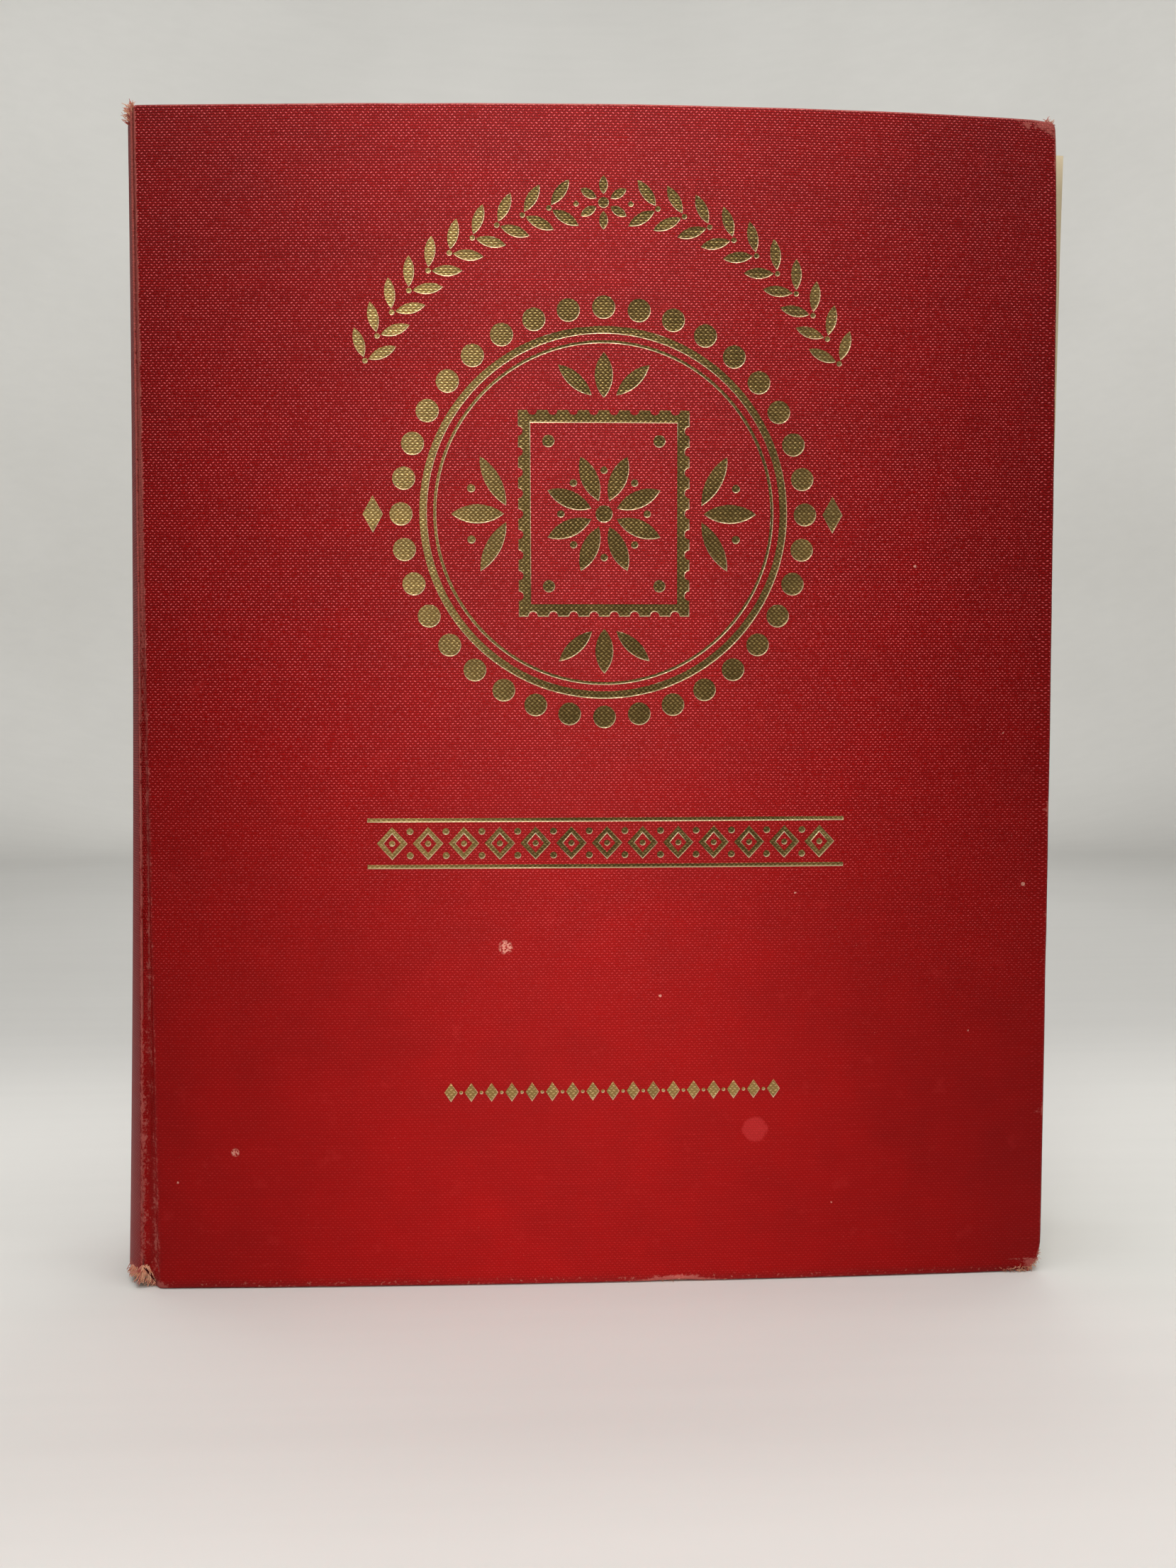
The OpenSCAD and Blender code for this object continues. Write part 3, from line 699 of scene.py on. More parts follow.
shape("foil_medallion", circle_loop(MX, MZ, 45.2, 110), [circle_loop(MX, MZ, 43.4, 110)])
shape("foil_medallion", circle_loop(MX, MZ, 41.8, 110), [circle_loop(MX, MZ, 41.1, 110)])
shape("foil_medallion", stamp_loop(MX, MZ, 21, 25, 1.2), [box_loop(MX - 18, MZ - 22, MX + 18, MZ + 22)])
for k in range(8):
    px, pz = turn([(3.4, 0)], 45 * k + 22.5, MX, MZ)[0]
    shape("foil_medallion", lens_loop(px, pz, 45 * k + 22.5, 11.6, 4.2, 10))
    px, pz = turn([(10.6, 0)], 45 * k, MX, MZ)[0]
    shape("foil_medallion", circle_loop(px, pz, 0.9, 12))
shape("foil_medallion", circle_loop(MX, MZ, 2.1, 18))
for sx in (-1, 1):
    for sz in (-1, 1):
        shape("foil_medallion", circle_loop(MX + sx * 13.6, MZ + sz * 17.6, 1.5, 14))
for s in (0, 180):
    for base, offs, ln, wd in (((24.5, 0), 0, 13, 4.6), ((24, 2), 62, 13.5, 3.8), ((24, -2), -62, 13.5, 3.8)):
        px, pz = turn([base], s, MX, MZ)[0]
        shape("foil_medallion", lens_loop(px, pz, s + offs, ln, wd, 10))
    for m in (-1, 1):
        px, pz = turn([(32.5, m * 6.2)], s, MX, MZ)[0]
        shape("foil_medallion", circle_loop(px, pz, 1.0, 12))
    for base, offs, ln, wd in (((28, 0), 0, 11, 4.4), ((28.6, 3), 48, 11, 3.4), ((28.6, -3), -48, 11, 3.4)):
        px, pz = turn([base], s + 90, MX, MZ)[0]
        shape("foil_medallion", lens_loop(px, pz, s + 90 + offs, ln, wd, 10))
    px, pz = turn([(56.6, 0)], s, MX, MZ)[0]
    shape("foil_medallion", lozenge_loop(px, pz, 5, 9))
TX, TZ = MX + 0.6, 113.0
shape("foil_title_band", box_loop(TX - 59.5, TZ + 5.3, TX + 59.5, TZ + 6.3))
shape("foil_title_band", box_loop(TX - 59.5, TZ - 6.3, TX + 59.5, TZ - 5.3))
for i in range(-6, 7):
    shape("foil_title_band", lozenge_loop(TX + i * 8.9, TZ, 7.6, 8.2), [lozenge_loop(TX + i * 8.9, TZ, 4.2, 4.8)])
    shape("foil_title_band", circle_loop(TX + i * 8.9, TZ, 0.75, 12))
for i in range(-6, 6):
    for m in (-3, 3):
        shape("foil_title_band", circle_loop(TX + (i + 0.5) * 8.9, TZ + m, 0.85, 12))
FX, FZ = MX + 2.0, 50.0
for i in range(-8, 9):
    shape("foil_foot_row", lozenge_loop(FX + i * 5.1, FZ, 3.3, 4.8))
for i in range(-8, 8):
    shape("foil_foot_row", circle_loop(FX + (i + 0.5) * 5.1, FZ, 0.45, 10))


def inside_loop(px, pz, loop):
    c = False
    j = len(loop) - 1
    for i in range(len(loop)):
        xi, zi = loop[i]
        xj, zj = loop[j]
        if (zi > pz) != (zj > pz) and px < (xj - xi) * (pz - zi) / (zj - zi) + xi:
            c = not c
        j = i
    return c


def near_loop(px, pz, loop, d):
    """Whether a point lies within d of a loop's outline."""
    ax, az = loop[-1]
    for bx, bz in loop:
        ex, ez = bx - ax, bz - az
        t = clamp(((px - ax) * ex + (pz - az) * ez) / (ex * ex + ez * ez + 1e-12))
        if (ax + t * ex - px) ** 2 + (az + t * ez - pz) ** 2 < d * d:
            return True
        ax, az = bx, bz
    return False


def inside_shape(px, pz, sh):
    return inside_loop(px, pz, sh[1]) and not any(inside_loop(px, pz, h) for h in sh[2])


# ------------------------------------------------------------------ a cover's cloth
def corner_radius(side, top):
    if side.front:
        return 2.3 if top else 4.6
    return 2.6


def rim_path(side):
    """Points round the tail, fore-edge and head: (anchor x, anchor z, outward dx, dz, outline wobble)."""
    rb, rt = corner_radius(side, False), corner_radius(side, True)
    r = max(rb, rt)
    path = []
    xs = [X_BE - JW, X_BE - 5, X_BE - 4, X_BE - 3, X_BE - 2.25, X_BE - 1.5, X_BE - 0.9, X_BE - 0.45, X_BE, X_BE + 0.4, X_BE + 0.9, X_BE + 1.6]
    n = 76
    xs += [mix(X_BE + 4, X_FE - r - 1, k / n) for k in range(n + 1)]

    def tail_lift(x):
        if not side.front:
            return 0.0
        k = smooth((X_BE - 1.1 - x) / 3.4)
        return k * (4.4 + 0.5 * math.sin(x * 3.1))

    for x in xs:
        path.append((x, rb + tail_lift(x), 0, -1, rb))
    for k in range(0, 13):
        a = math.radians(-90 + 90 * k / 12)
        path.append((X_FE - rb, rb, math.cos(a), math.sin(a), rb))
    nz = 96
    for k in range(1, nz):
        path.append((X_FE - mix(rb, rt, k / nz), mix(rb, H - rt, k / nz), 1, 0, mix(rb, rt, k / nz)))
    for k in range(0, 13):
        a = math.radians(90 * k / 12)
        path.append((X_FE - rt, H - rt, math.cos(a), math.sin(a), rt))
    for x in reversed(xs):
        path.append((x, H - rt, 0, 1, rt))
    return path


def outline_wobble(side, x, z, dx, dz):
    """Knocks and unevenness of the cloth edge, in mm, inward positive."""
    w = 0.16 * fbm(x, z, 22.0, 3.0 if side.front else 9.0)
    if side.front:
        # blunted tail corner, ragged
        d = math.hypot(x - X_FE, z)
        w += 0.95 * smooth(1 - d / 9.0) * (0.75 + 0.9 * fbm(x, z, 2.1, 5.0))
        d = math.hypot(x - X_FE, z - H)
        w += 0.35 * smooth(1 - d / 7.0) * (0.8 + 1.2 * fbm(x, z, 2.6, 8.0))
        # small chips along the tail
        w += 0.30 * smooth(1 - abs(x - (X_BE + 131)) / 9.0) * smooth(1 - z / 3.0) * (1 + fbm(x, z, 3.0, 1.0))
        # the fore-edge has swollen a little past the square
        w -= 1.15 * clamp(dx) * (1 - 0.45 * smooth((z - 250) / 40.0)) * (1 - 0.25 * smooth((6 - z) / 6.0))
    return w


def wear_at(side, x, z, d_edge):
    """0 to 1; d_edge is the flat distance from the nearest free edge, 0 at the outermost line."""
    f = 1.0 if side.front else 0.8
    w = 0.40 * math.exp(-(d_edge / 0.9) ** 2)
    if side.front:
        if z > H - 12:
            w = max(w, 0.86 * math.exp(-(d_edge / 0.85) ** 2))
        lower = smooth((170 - z) / 40.0)
        if x > X_FE - 12:
            fleck = clamp(fbm(x * 0.3, z, 3.2, 31.0) * 3.2 - 0.25)
            w = max(w, (0.26 + (0.30 + 0.35 * lower) * fleck) * math.exp(-(d_edge / (0.6 + 0.7 * fleck)) ** 2))
        if z < 12:
            k = math.exp(-((x - (X_BE + 131)) / 10.0) ** 2)
            w = max(w, (0.42 + 0.55 * k) * math.exp(-(d_edge / (0.9 + 0.8 * k)) ** 2))
        # corners
        w = max(w, 1.35 * smooth(1 - math.hypot(x - X_FE - 1.2, z) / 7.2))
        w = max(w, 0.92 * smooth(1 - math.hypot(x - X_FE + 1, z - H) / 6.0))
        w = max(w, 0.70 * smooth(1 - math.hypot(x - (X_FE - 7), (z - H + 1.5) * 1.2) / 4.0))
        w = max(w, 0.95 * smooth(1 - math.hypot((x - X_BE + 3.5) * 0.8, z - H) / 6.0))
        w = max(w, 0.85 * smooth(1 - math.hypot((x - X_BE), z) / 4.5))
    else:
        w = max(w, 0.8 * smooth(1 - math.hypot(x - X_FE, z) / 5.0), 0.75 * smooth(1 - math.hypot(x - X_FE, z - H) / 5.0))
        w = max(w, 0.5 * math.exp(-(d_edge / 1.0) ** 2))
    # the board's joint edge, and the ridge by the spine
    q = X_BE - x
    if q > -3.0:
        worn = 0.40 + 0.20 * smooth((z - 150) / 80.0) + 0.16 * fbm(x, z, 16.0, 2.0)
        w = max(w, worn * math.exp(-((q + 0.1) / 0.55) ** 2))
        w = max(w, (worn + 0.14) * math.exp(-((q - JW) / 0.55) ** 2))
        if q > 0:
            w = max(w, 0.30 + 0.34 * smooth((z - 120) / 90.0) + 0.16 * math.exp(-((q - 1.6 - 1.6 * z / H) / 0.8) ** 2) + 0.08 * math.sin(z * 0.05 + q * 1.3))
    return clamp(w, 0.0, 1.2) * f


def shade_and_soil_at(side, x, z, u):
    q = X_BE - x
    s = 0.0
    # darker in the hollow of the joint, fading toward the head
    if 0 < q < JW:
        s = 0.55 * math.exp(-((q - 2.6) / 1.1) ** 2) * (0.6 + 0.8 * fbm(x, z, 14.0, 6.0))
        s *= smooth(1.2 - z / H)
    # painted shade: darker with depth from the face, over the edge's thickness and the turn-in
    s = max(s, 0.75 * smooth(u / 0.75))
    # painted contact shadow along the front cover's tail
    if z < 1.2 and side.front:
        s = max(s, 0.5)
    return clamp(s)


def profile():
    """(inset from the outermost edge, depth) across the rim, face to turn-in."""
    re, ri = 0.95, 0.8
    pts = [(re, 0.0, 0.0)]
    s = 0.0
    for k in range(1, 6):
        a = math.radians(18 * k)
        pts.append((re - re * math.sin(a), re - re * math.cos(a), re * a))
    s = re * math.pi / 2
    pts.append((0.0, T / 2, s + T / 2 - re))
    pts.append((0.0, T - ri, s + T - ri - re))
    s2 = s + T - ri - re
    for k in range(1, 5):
        a = math.radians(22.5 * k)
        pts.append((ri - ri * math.cos(a), T - ri + ri * math.sin(a), s2 + ri * a))
    s3 = s2 + ri * math.pi / 2
    for d in (3.0, 7.0, 11.0, 14.8):
        pts.append((d, T, s3 + d - ri))
    pts.append((15.0, T - 0.12, s3 + 14.3))
    return pts


def build_cover_cloth(side, name, mat, with_foil):
    path = rim_path(side)
    prof = profile()
    verts, uvs, wear, soil_and_shade, wts = [], [], [], [], []
    flat = []                              # flat (x, z) of each vertex, for the face's triangulation

    def add(x, z, u, ux, uz, d_edge):
        p = side.pos(x, z, u)
        verts.append(p)
        uvs.append((ux, uz))
        wear.append(wear_at(side, x, z, d_edge))
        soil_and_shade.append(shade_and_soil_at(side, x, z, u))
        wts.append(smooth(1 - clamp((X_BE - 0.3 - x) / (JW - 1.2))))
        return len(verts) - 1

    grid = []
    for (ax, az, dx, dz, r) in path:
        ox, oz = ax + dx * r, az + dz * r
        wob = outline_wobble(side, ox, oz, dx, dz)
        # the free outline, and the flat point where the face begins
        base = prof[0][0]
        col = []
        for (d, u, s) in prof:
            dd = d + wob
            if dd <= r:
                px, pz = ax + dx * (r - dd), az + dz * (r - dd)
            else:
                px, pz = ax, az
                if dx > 0.01:
                    px = min(px, X_FE - dd) if dx > 0.01 else px
                if abs(dz) > 0.01:
                    pz = max(pz, dd) if dz < 0 else min(pz, H - dd)
            uvx, uvz = ax + dx * (r - base + s), az + dz * (r - base + s)
            arc = s if u > 0 else 0.0
            col.append(add(px, pz, u, uvx, uvz, max(0.0, d) if u <= T / 2 else 0.8 + s * 0.3))
        grid.append(col)
    faces, mi = [], []
    for i in range(len(grid) - 1):
        for j in range(len(prof) - 1):
            a, b, c, d = grid[i][j], grid[i + 1][j], grid[i + 1][j + 1], grid[i][j + 1]
            q = [a, d, c, b] if side.front else [a, b, c, d]
            faces.append(q)
            mi.append(0)

    # the face
    ring = [grid[i][0] for i in range(len(grid))]
    bound = [(uvs[i][0], uvs[i][1]) for i in ring]
    z_lo, z_hi = bound[0][1], bound[-1][1]
    nz = 73
    spine_side = [(X_BE - JW, mix(z_hi, z_lo, k / nz)) for k in range(1, nz)]
    outer = bound + spine_side
    pts = list(outer)
    labels = [("edge", i) for i in range(len(outer))]
    edges = [(i, (i + 1) % len(outer)) for i in range(len(outer))]
    BEV, DEPTH = 0.30, 0.24
    lip_highlight_value = {}
    if with_foil:
        for si, (group, loop, holes) in enumerate(shapes):
            for li, lp in enumerate([loop] + list(holes)):
                lp = [(X_BE + p[0], p[1]) for p in lp]
                inner = inset(lp, BEV if li == 0 else -BEV)
                for q, (pa, pb) in enumerate(zip(lp, inner)):
                    ex, ez = (pa[0] - pb[0]), (pa[1] - pb[1])
                    ln = math.hypot(ex, ez) or 1.0
                    # painted highlight, set by the way the rim faces: highest on rims facing down and to the right
                    lip_highlight_value[(round(pa[0], 4), round(pa[1], 4))] = clamp(0.30 + 0.75 * (0.35 * ex - 0.93 * ez) / ln, 0.04, 1.0)
                for kind, ring2 in (("lip", lp), ("floor", inner)):
                    s0 = len(pts)
                    pts += ring2
                    labels += [(kind, si)] * len(ring2)
                    m = len(ring2)
                    edges += [(s0 + i, s0 + (i + 1) % m) for i in range(m)]
    # support points
    cols = [X_BE - 5, X_BE - 4, X_BE - 3, X_BE - 2.25, X_BE - 1.5, X_BE - 0.9, X_BE - 0.45, X_BE, X_BE + 0.4, X_BE + 0.9, X_BE + 1.6]
    xcols = cols + [mix(X_BE + 4.5, X_FE - 3.2, k / 54) for k in range(55)]
    lips = []
    if with_foil:
        for (group, loop, holes) in shapes:
            lp = [(X_BE + p[0], p[1]) for p in loop]
            xs_, zs_ = [p[0] for p in lp], [p[1] for p in lp]
            lips.append((min(xs_) - 0.7, max(xs_) + 0.7, min(zs_) - 0.7, max(zs_) + 0.7, [lp] + [[(X_BE + p[0], p[1]) for p in h] for h in holes]))
    extra_z = sorted(set([mix(4.0, H - 4.0, k / 71) for k in range(72)] + [1.6, 2.6, H - 1.6, H - 2.6]))
    for x in xcols:
        for z in extra_z:
            zlo = 1.7
            if x < X_BE and side.front:
                zlo = 6.4
            if z < zlo or z > H - 1.5 or x > X_FE - 2.0:
                continue
            if (z < 6 or z > H - 6) and x > X_FE - 6:
                continue
            ok = True
            for (a0, a1, b0, b1, loops) in lips:
                if a0 < x < a1 and b0 < z < b1 and any(near_loop(x, z, lp, 0.62) for lp in loops):
                    ok = False
                    break
            if ok:
                pts.append((x, z))
                labels.append(("grid", -1))
    out = geometry.delaunay_2d_cdt([Vector(p) for p in pts], edges, [], 1, 1e-5, True)
    ov, oe, of, orig = out[0], out[1], out[2], out[3]
    index = []
    kinds = []
    lip_highlight_verts = {}
    for k, co in enumerate(ov):
        src = [i for i in orig[k]]
        lab = labels[src[0]] if src else ("grid", -1)
        if src and src[0] < len(ring):
            index.append(ring[src[0]])
            kinds.append(("edge", -1))
            continue
        x, z = co.x, co.y
        u = 0.0
        if lab[0] == "floor":
            u = DEPTH
        elif lab[0] == "grid" and with_foil:
            for si, (a0, a1, b0, b1, loops) in enumerate(lips):
                if a0 < x < a1 and b0 < z < b1 and inside_loop(x, z, loops[0]) and not any(inside_loop(x, z, h) for h in loops[1:]):
                    u = DEPTH
                    lab = ("floor", si)
                    break
        kinds.append(lab)
        d_edge = min(X_FE - x, z, H - z)
        index.append(add(x, z, u, x, z, max(0.0, d_edge)))
        if lab[0] == "lip":
            # painted highlight: the rims facing down and to the right get the highest value, which lightens their
            # colour most
            lip_highlight_verts[index[-1]] = lip_highlight_value.get((round(x, 4), round(z, 4)), 0.5)
    groups = []
    for f in of:
        ks = [kinds[i] for i in f]
        g = None
        fl = [k for k in ks if k[0] == "floor"]
        if fl:
            g = shapes[fl[0][1]][0]
        elif len(ks) == 3 and all(k[0] == "lip" for k in ks) and ks[0][1] == ks[1][1] == ks[2][1]:
            cx = sum(ov[i].x for i in f) / 3 - X_BE
            cz = sum(ov[i].y for i in f) / 3
            if inside_shape(cx, cz, shapes[ks[0][1]]):
                g = shapes[ks[0][1]][0]
        t = [index[i] for i in f]
        a, b, c = (verts[i] for i in t[:3])
        nrm = (b - a).cross(c - a)
        if nrm.length < 1e-9:
            continue
        if (nrm.y > 0) == side.front:
            t = t[::-1]
        faces.append(t)
        groups.append(g)
        mi.append(0)
    n_rim = len(faces) - len(groups)
    obj = make_mesh(name, verts, faces, uvs, {"wear": wear, "soil_and_shade": soil_and_shade}, [mat])
    if with_foil:
        sharpen(obj, 17)
    solidify(obj, 0.42)
    # foil: the pressed areas again, a hair above the cloth
    foils = {}
    if with_foil:
        for g in ("foil_garland", "foil_medallion", "foil_title_band", "foil_foot_row"):
            fs = [faces[n_rim + i] for i, gg in enumerate(groups) if gg == g]
            used = sorted({v for f in fs for v in f})
            remap = {v: k for k, v in enumerate(used)}
            fv = [verts[v] + Vector((0, -0.035, 0)) for v in used]
            fo = make_mesh(g + "_pressed", fv, [[remap[v] for v in f] for f in fs], [uvs[v] for v in used],
                           {"lip": [lip_highlight_verts.get(v, 0.0) for v in used]}, [FOIL])
            sharpen(fo, 17)
            solidify(fo, 0.03)
            foils[g] = fo
    return obj, foils, wts


front_cloth, foils, w_front = build_cover_cloth(FRONT, "front_cover_cloth", CLOTH_F, True)
back_cloth, _, w_back = build_cover_cloth(BACK, "back_cover_cloth", CLOTH_B, False)
for obj, w, body, nodes in ((front_cloth, w_front, "front_cover", ("front_cloth", "front_joint_cloth")),
                            (back_cloth, w_back, "back_cover", ("back_cloth", "back_joint_cloth"))):
    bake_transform(obj)
    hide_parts(*nodes)
for g, fo in foils.items():
    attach(fo, "front_cover")
    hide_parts(g)


# ------------------------------------------------------------------ boards
def build_board(side, name):
    nx, nz = 30, 36
    m = 0.5
    verts, faces = [], []
    for layer, u in ((0, 0.55), (1, 2.85)):
        for j in range(nz + 1):
            for i in range(nx + 1):
                x, z = mix(X_BE + 0.35, X_FE - m, i / nx), mix(m, H - m, j / nz)
                r = 4.4
                cx, cz = X_FE - m - r, (m + r if z < H / 2 else H - m - r)
                if x > cx and ((z < cz) if z < H / 2 else (z > cz)):
                    d = math.hypot(x - cx, z - cz)
                    q = max(abs(x - cx), abs(z - cz))
                    if d > 1e-6:
                        s = q / d
                        x, z = cx + (x - cx) * s, cz + (z - cz) * s
                p = side.pos(x, z, u)
                verts.append(p)
    o = (nx + 1) * (nz + 1)

    def v(l, i, j): return l * o + j * (nx + 1) + i
    for j in range(nz):
        for i in range(nx):
            faces.append([v(0, i, j), v(0, i + 1, j), v(0, i + 1, j + 1), v(0, i, j + 1)])
            faces.append([v(1, i, j), v(1, i, j + 1), v(1, i + 1, j + 1), v(1, i + 1, j)])
    for i in range(nx):
        faces.append([v(0, i, 0), v(1, i, 0), v(1, i + 1, 0), v(0, i + 1, 0)])
        faces.append([v(0, i, nz), v(0, i + 1, nz), v(1, i + 1, nz), v(1, i, nz)])
    for j in range(nz):
        faces.append([v(0, 0, j), v(0, 0, j + 1), v(1, 0, j + 1), v(1, 0, j)])
        faces.append([v(0, nx, j), v(1, nx, j), v(1, nx, j + 1), v(0, nx, j + 1)])
    if not side.front:
        faces = [f[::-1] for f in faces]
    obj = make_mesh(name, verts, faces, None, {}, [BOARD])
    sharpen(obj, 40)
    return obj


for side, cad in ((FRONT, "front_board"), (BACK, "back_board")):
    b = build_board(side, cad + "_warped")
    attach(b, side.body)
    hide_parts(cad)


# ------------------------------------------------------------------ pastedowns, with the strip that crosses the hinge inside
def build_pastedown(side, name):
    xs = [PAGE_FE + 3 - 4 - 0.0]
    x_hi, x_lo = X_FE - 4.0, X_BE + 0.6
    xs = [x_hi, x_hi - 3, x_hi - 7, x_hi - 10.2, x_hi - 11.0, x_hi - 11.8] + [mix(x_hi - 16, x_lo + 6, k / 34) for k in range(35)] + [x_lo + 3, x_lo + 1.2, x_lo]
    z_lo, z_hi = 4.0, H - 4.0
    zs = [z_lo, z_lo + 4, z_lo + 8, z_lo + 10.2, z_lo + 11, z_lo + 11.8] + [mix(z_lo + 16, z_hi - 16, k / 40) for k in range(41)] + [z_hi - 11.8, z_hi - 11, z_hi - 10.2, z_hi - 8, z_hi - 4, z_hi]
    verts, uvs, wts, edge, tone = [], [], [], [], []
    cols = [(x, None) for x in xs]
    # the strip from the board's edge to the gutter
    gx, gu = GUTTER - 0.25, T + 0.42
    strip = 9
    for j, z in enumerate(zs):
        zf = z
        for x in xs:
            d = min(X_FE - x, z, H - z)
            ramp_ = smooth((15.9 - d) / 1.5)
            u = T - 0.38 + 0.36 * ramp_ + 0.30
            p = side.pos(x, z, u)
            w = 1.0
            verts.append(p)
            uvs.append((x - X_BE, z))
            wts.append(w)
            edge.append(clamp(1 - min(x_hi - x, z - z_lo, z_hi - z) / 18.0) ** 2)
            tone.append(0.5)
        for k in range(1, strip + 1):
            t = k / strip
            x0, u0 = xs[-1], T - 0.02 + 0.30
            ang = t * math.pi
            x = mix(x0, gx, t) - 0.5 * math.sin(ang)
            u = mix(u0, gu, t) + 0.05 * math.sin(ang)
            zz = clamp(z, PAGE_Z0 + 0.6, PAGE_Z1 - 0.6)
            z2 = mix(z, zz, smooth(t))
            p = side.pos(max(x, X_BE), z2, u)
            p.x = x
            verts.append(p)
            uvs.append((xs[-1] - X_BE - 1.2 * k, z2))
            wts.append(smooth(1 - t))
            edge.append(0.0)
            tone.append(0.45)
    nx = len(xs) + strip
    faces = []
    for j in range(len(zs) - 1):
        for i in range(nx - 1):
            a = j * nx + i
            q = [a, a + 1, a + nx + 1, a + nx]
            faces.append(q if side.front else q[::-1])
    # normals face the pages: +Y on the front cover
    obj = make_mesh(name, verts, [f[::-1] for f in faces], uvs, {"edge": edge, "tone": tone}, [ENDPAPER])
    me = obj.data
    mid = me.polygons[len(me.polygons) // 2]
    if (mid.normal.y > 0) != side.front:
        me.flip_normals()
    solidify(obj, 0.24)
    return obj, wts


for side, cad in ((FRONT, "front_pastedown"), (BACK, "back_pastedown")):
    o, w = build_pastedown(side, cad + "_sheet")
    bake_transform(o)
    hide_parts(cad)


# ------------------------------------------------------------------ spine
SPINE_SEG = 30


def spine_point(f, z, off=0.0):
    """f runs 0 at the front ridge to 1 at the back ridge; off is inward, in mm."""
    fx, fy = X_BE - joint_gap(z), YF + 0.28 + RIDGE_U
    bx, by = X_BE - 2.2, YB - 0.28 - RIDGE_U
    b = spine_bulge(z)
    cx, cy = (fx + bx) / 2, (fy + by) / 2
    half = math.hypot(bx - fx, by - fy) / 2
    R = (half * half + b * b) / (2 * b)
    dx, dy = (bx - fx) / (2 * half), (by - fy) / (2 * half)
    nx, ny = -dy, dx                       # points to -X
    ox, oy = cx - nx * (R - b), cy - ny * (R - b)
    a = math.asin(clamp(half / R, -1, 1))
    t = mix(-a, a, f)
    # a term for a slightly square shoulder, as the inlay's edges show through, is multiplied by zero, so the shoulder
    # stays round
    rr = R - off + 0.22 * (math.exp(-(f / 0.035) ** 2) + math.exp(-((1 - f) / 0.035) ** 2)) * 0
    return Vector((ox + rr * (nx * math.cos(t) + dx * math.sin(t)), oy + rr * (ny * math.cos(t) + dy * math.sin(t)), z))


def spine_wear(f, z):
    w = 0.0
    for ff, k in ((f, 1.0), (1 - f, 0.85)):
        w = max(w, k * (0.62 + 0.2 * fbm(z, ff * 10, 18.0, 4.0)) * math.exp(-(ff / 0.022) ** 2))
    w = max(w, 0.85 * smooth(1 - (H - z) / 3.0), 0.65 * smooth(1 - (z - 3) / 4.0))
    w = max(w, 0.95 * smooth(1 - (H - z) / 7.0) * math.exp(-(f / 0.12) ** 2))
    w = max(w, 0.26 + 0.12 * fbm(f * 40, z, 30.0, 12.0))
    return clamp(w)


def tail_of_spine(f):
    front = math.exp(-(f / 0.30) ** 2)
    return 0.6 + 2.9 * front + (0.4 + 0.8 * front) * abs(fbm(f * 60, 3.0, 3.0, 4.0)) * 2.0


def build_spine():
    zs = [0, 0.35, 0.8, 1.6, 3.0] + [mix(6, H - 6, k / 76) for k in range(77)] + [H - 3.2, H - 1.9]
    verts, uvs, wear, soil_and_shade, rows = [], [], [], [], []
    arc = 43.0
    th = 1.75                              # double cloth and inlay

    def row(z_fn, off, vz):
        r = []
        for i in range(SPINE_SEG + 1):
            f = i / SPINE_SEG
            z = z_fn(f)
            p = spine_point(f, z, off)
            verts.append(p)
            uvs.append((X_BE - 60 - (1 - f) * -arc, vz(f, z)))
            wear.append(spine_wear(f, z))
            # random soiling, and painted shade on the rows turned in under the head
            soil_and_shade.append(clamp(0.14 + 0.25 * fbm(f * 43, z, 40.0, 7.0) + (0.5 if off > 0.9 else 0.0)))
            r.append(len(verts) - 1)
        rows.append(r)

    for z in zs:
        row(lambda f, z=z: mix(tail_of_spine(f), 13.0, z / 13.0) if z < 13 else z, 0.0, lambda f, z: z)
    # over the head: the cloth rolls over the inlay and turns in
    for k in range(1, 8):
        a = math.radians(180 * k / 7)
        hz, ho = 0.9 * math.sin(a), (th / 2) * (1 - math.cos(a))

        def hump(f, hz=hz):
            torn = 0.5 * math.exp(-(f / 0.06) ** 2) * fbm(f * 90, 2.0, 2.0, 3.0)
            return H - 0.95 + hz + torn
        row(hump, ho, lambda f, z, k=k: H + k * 0.4)
    for d in (3.0, 7.0, 11.0, 15.0):
        row(lambda f, d=d: H - 0.95 - d, th, lambda f, z, d=d: H + 3 + d)
    faces = []
    for a, b in zip(rows, rows[1:]):
        for i in range(SPINE_SEG):
            faces.append([a[i], a[i + 1], b[i + 1], b[i]])
    obj = make_mesh("spine_cloth_rounded", verts, faces, uvs, {"wear": wear, "soil_and_shade": soil_and_shade}, [CLOTH_B])
    mid = obj.data.polygons[len(obj.data.polygons) // 2]
    if mid.normal.x > 0:
        obj.data.flip_normals()
    solidify(obj, 0.40)
    return obj


spine = build_spine()
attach(spine, "root")
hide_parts("spine_cloth")


def shell(name, point, us, vs, thick, mat, flip_test):
    """A grid of point(u, v), thickened."""
    verts = [point(u, v) for v in vs for u in us]
    nx = len(us)
    faces = [[j * nx + i, j * nx + i + 1, (j + 1) * nx + i + 1, (j + 1) * nx + i] for j in range(len(vs) - 1) for i in range(nx - 1)]
    uvs = [(u * 40, v) for v in vs for u in us]
    obj = make_mesh(name, verts, faces, uvs, {"edge": [0.0] * len(verts), "tone": [0.5] * len(verts)}, [mat])
    mid = obj.data.polygons[len(faces) // 2]
    if (mid.normal @ Vector(flip_test)) < 0:
        obj.data.flip_normals()
    solidify(obj, thick)
    return obj


inlay = shell("spine_inlay_curved", lambda f, z: spine_point(mix(0.035, 0.965, f), z, 0.5), [i / 24 for i in range(25)],
              [mix(3.0, H - 1.5, k / 48) for k in range(49)], 0.85, BOARD, (-1, 0, 0))
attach(inlay, "root")
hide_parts("spine_inlay")


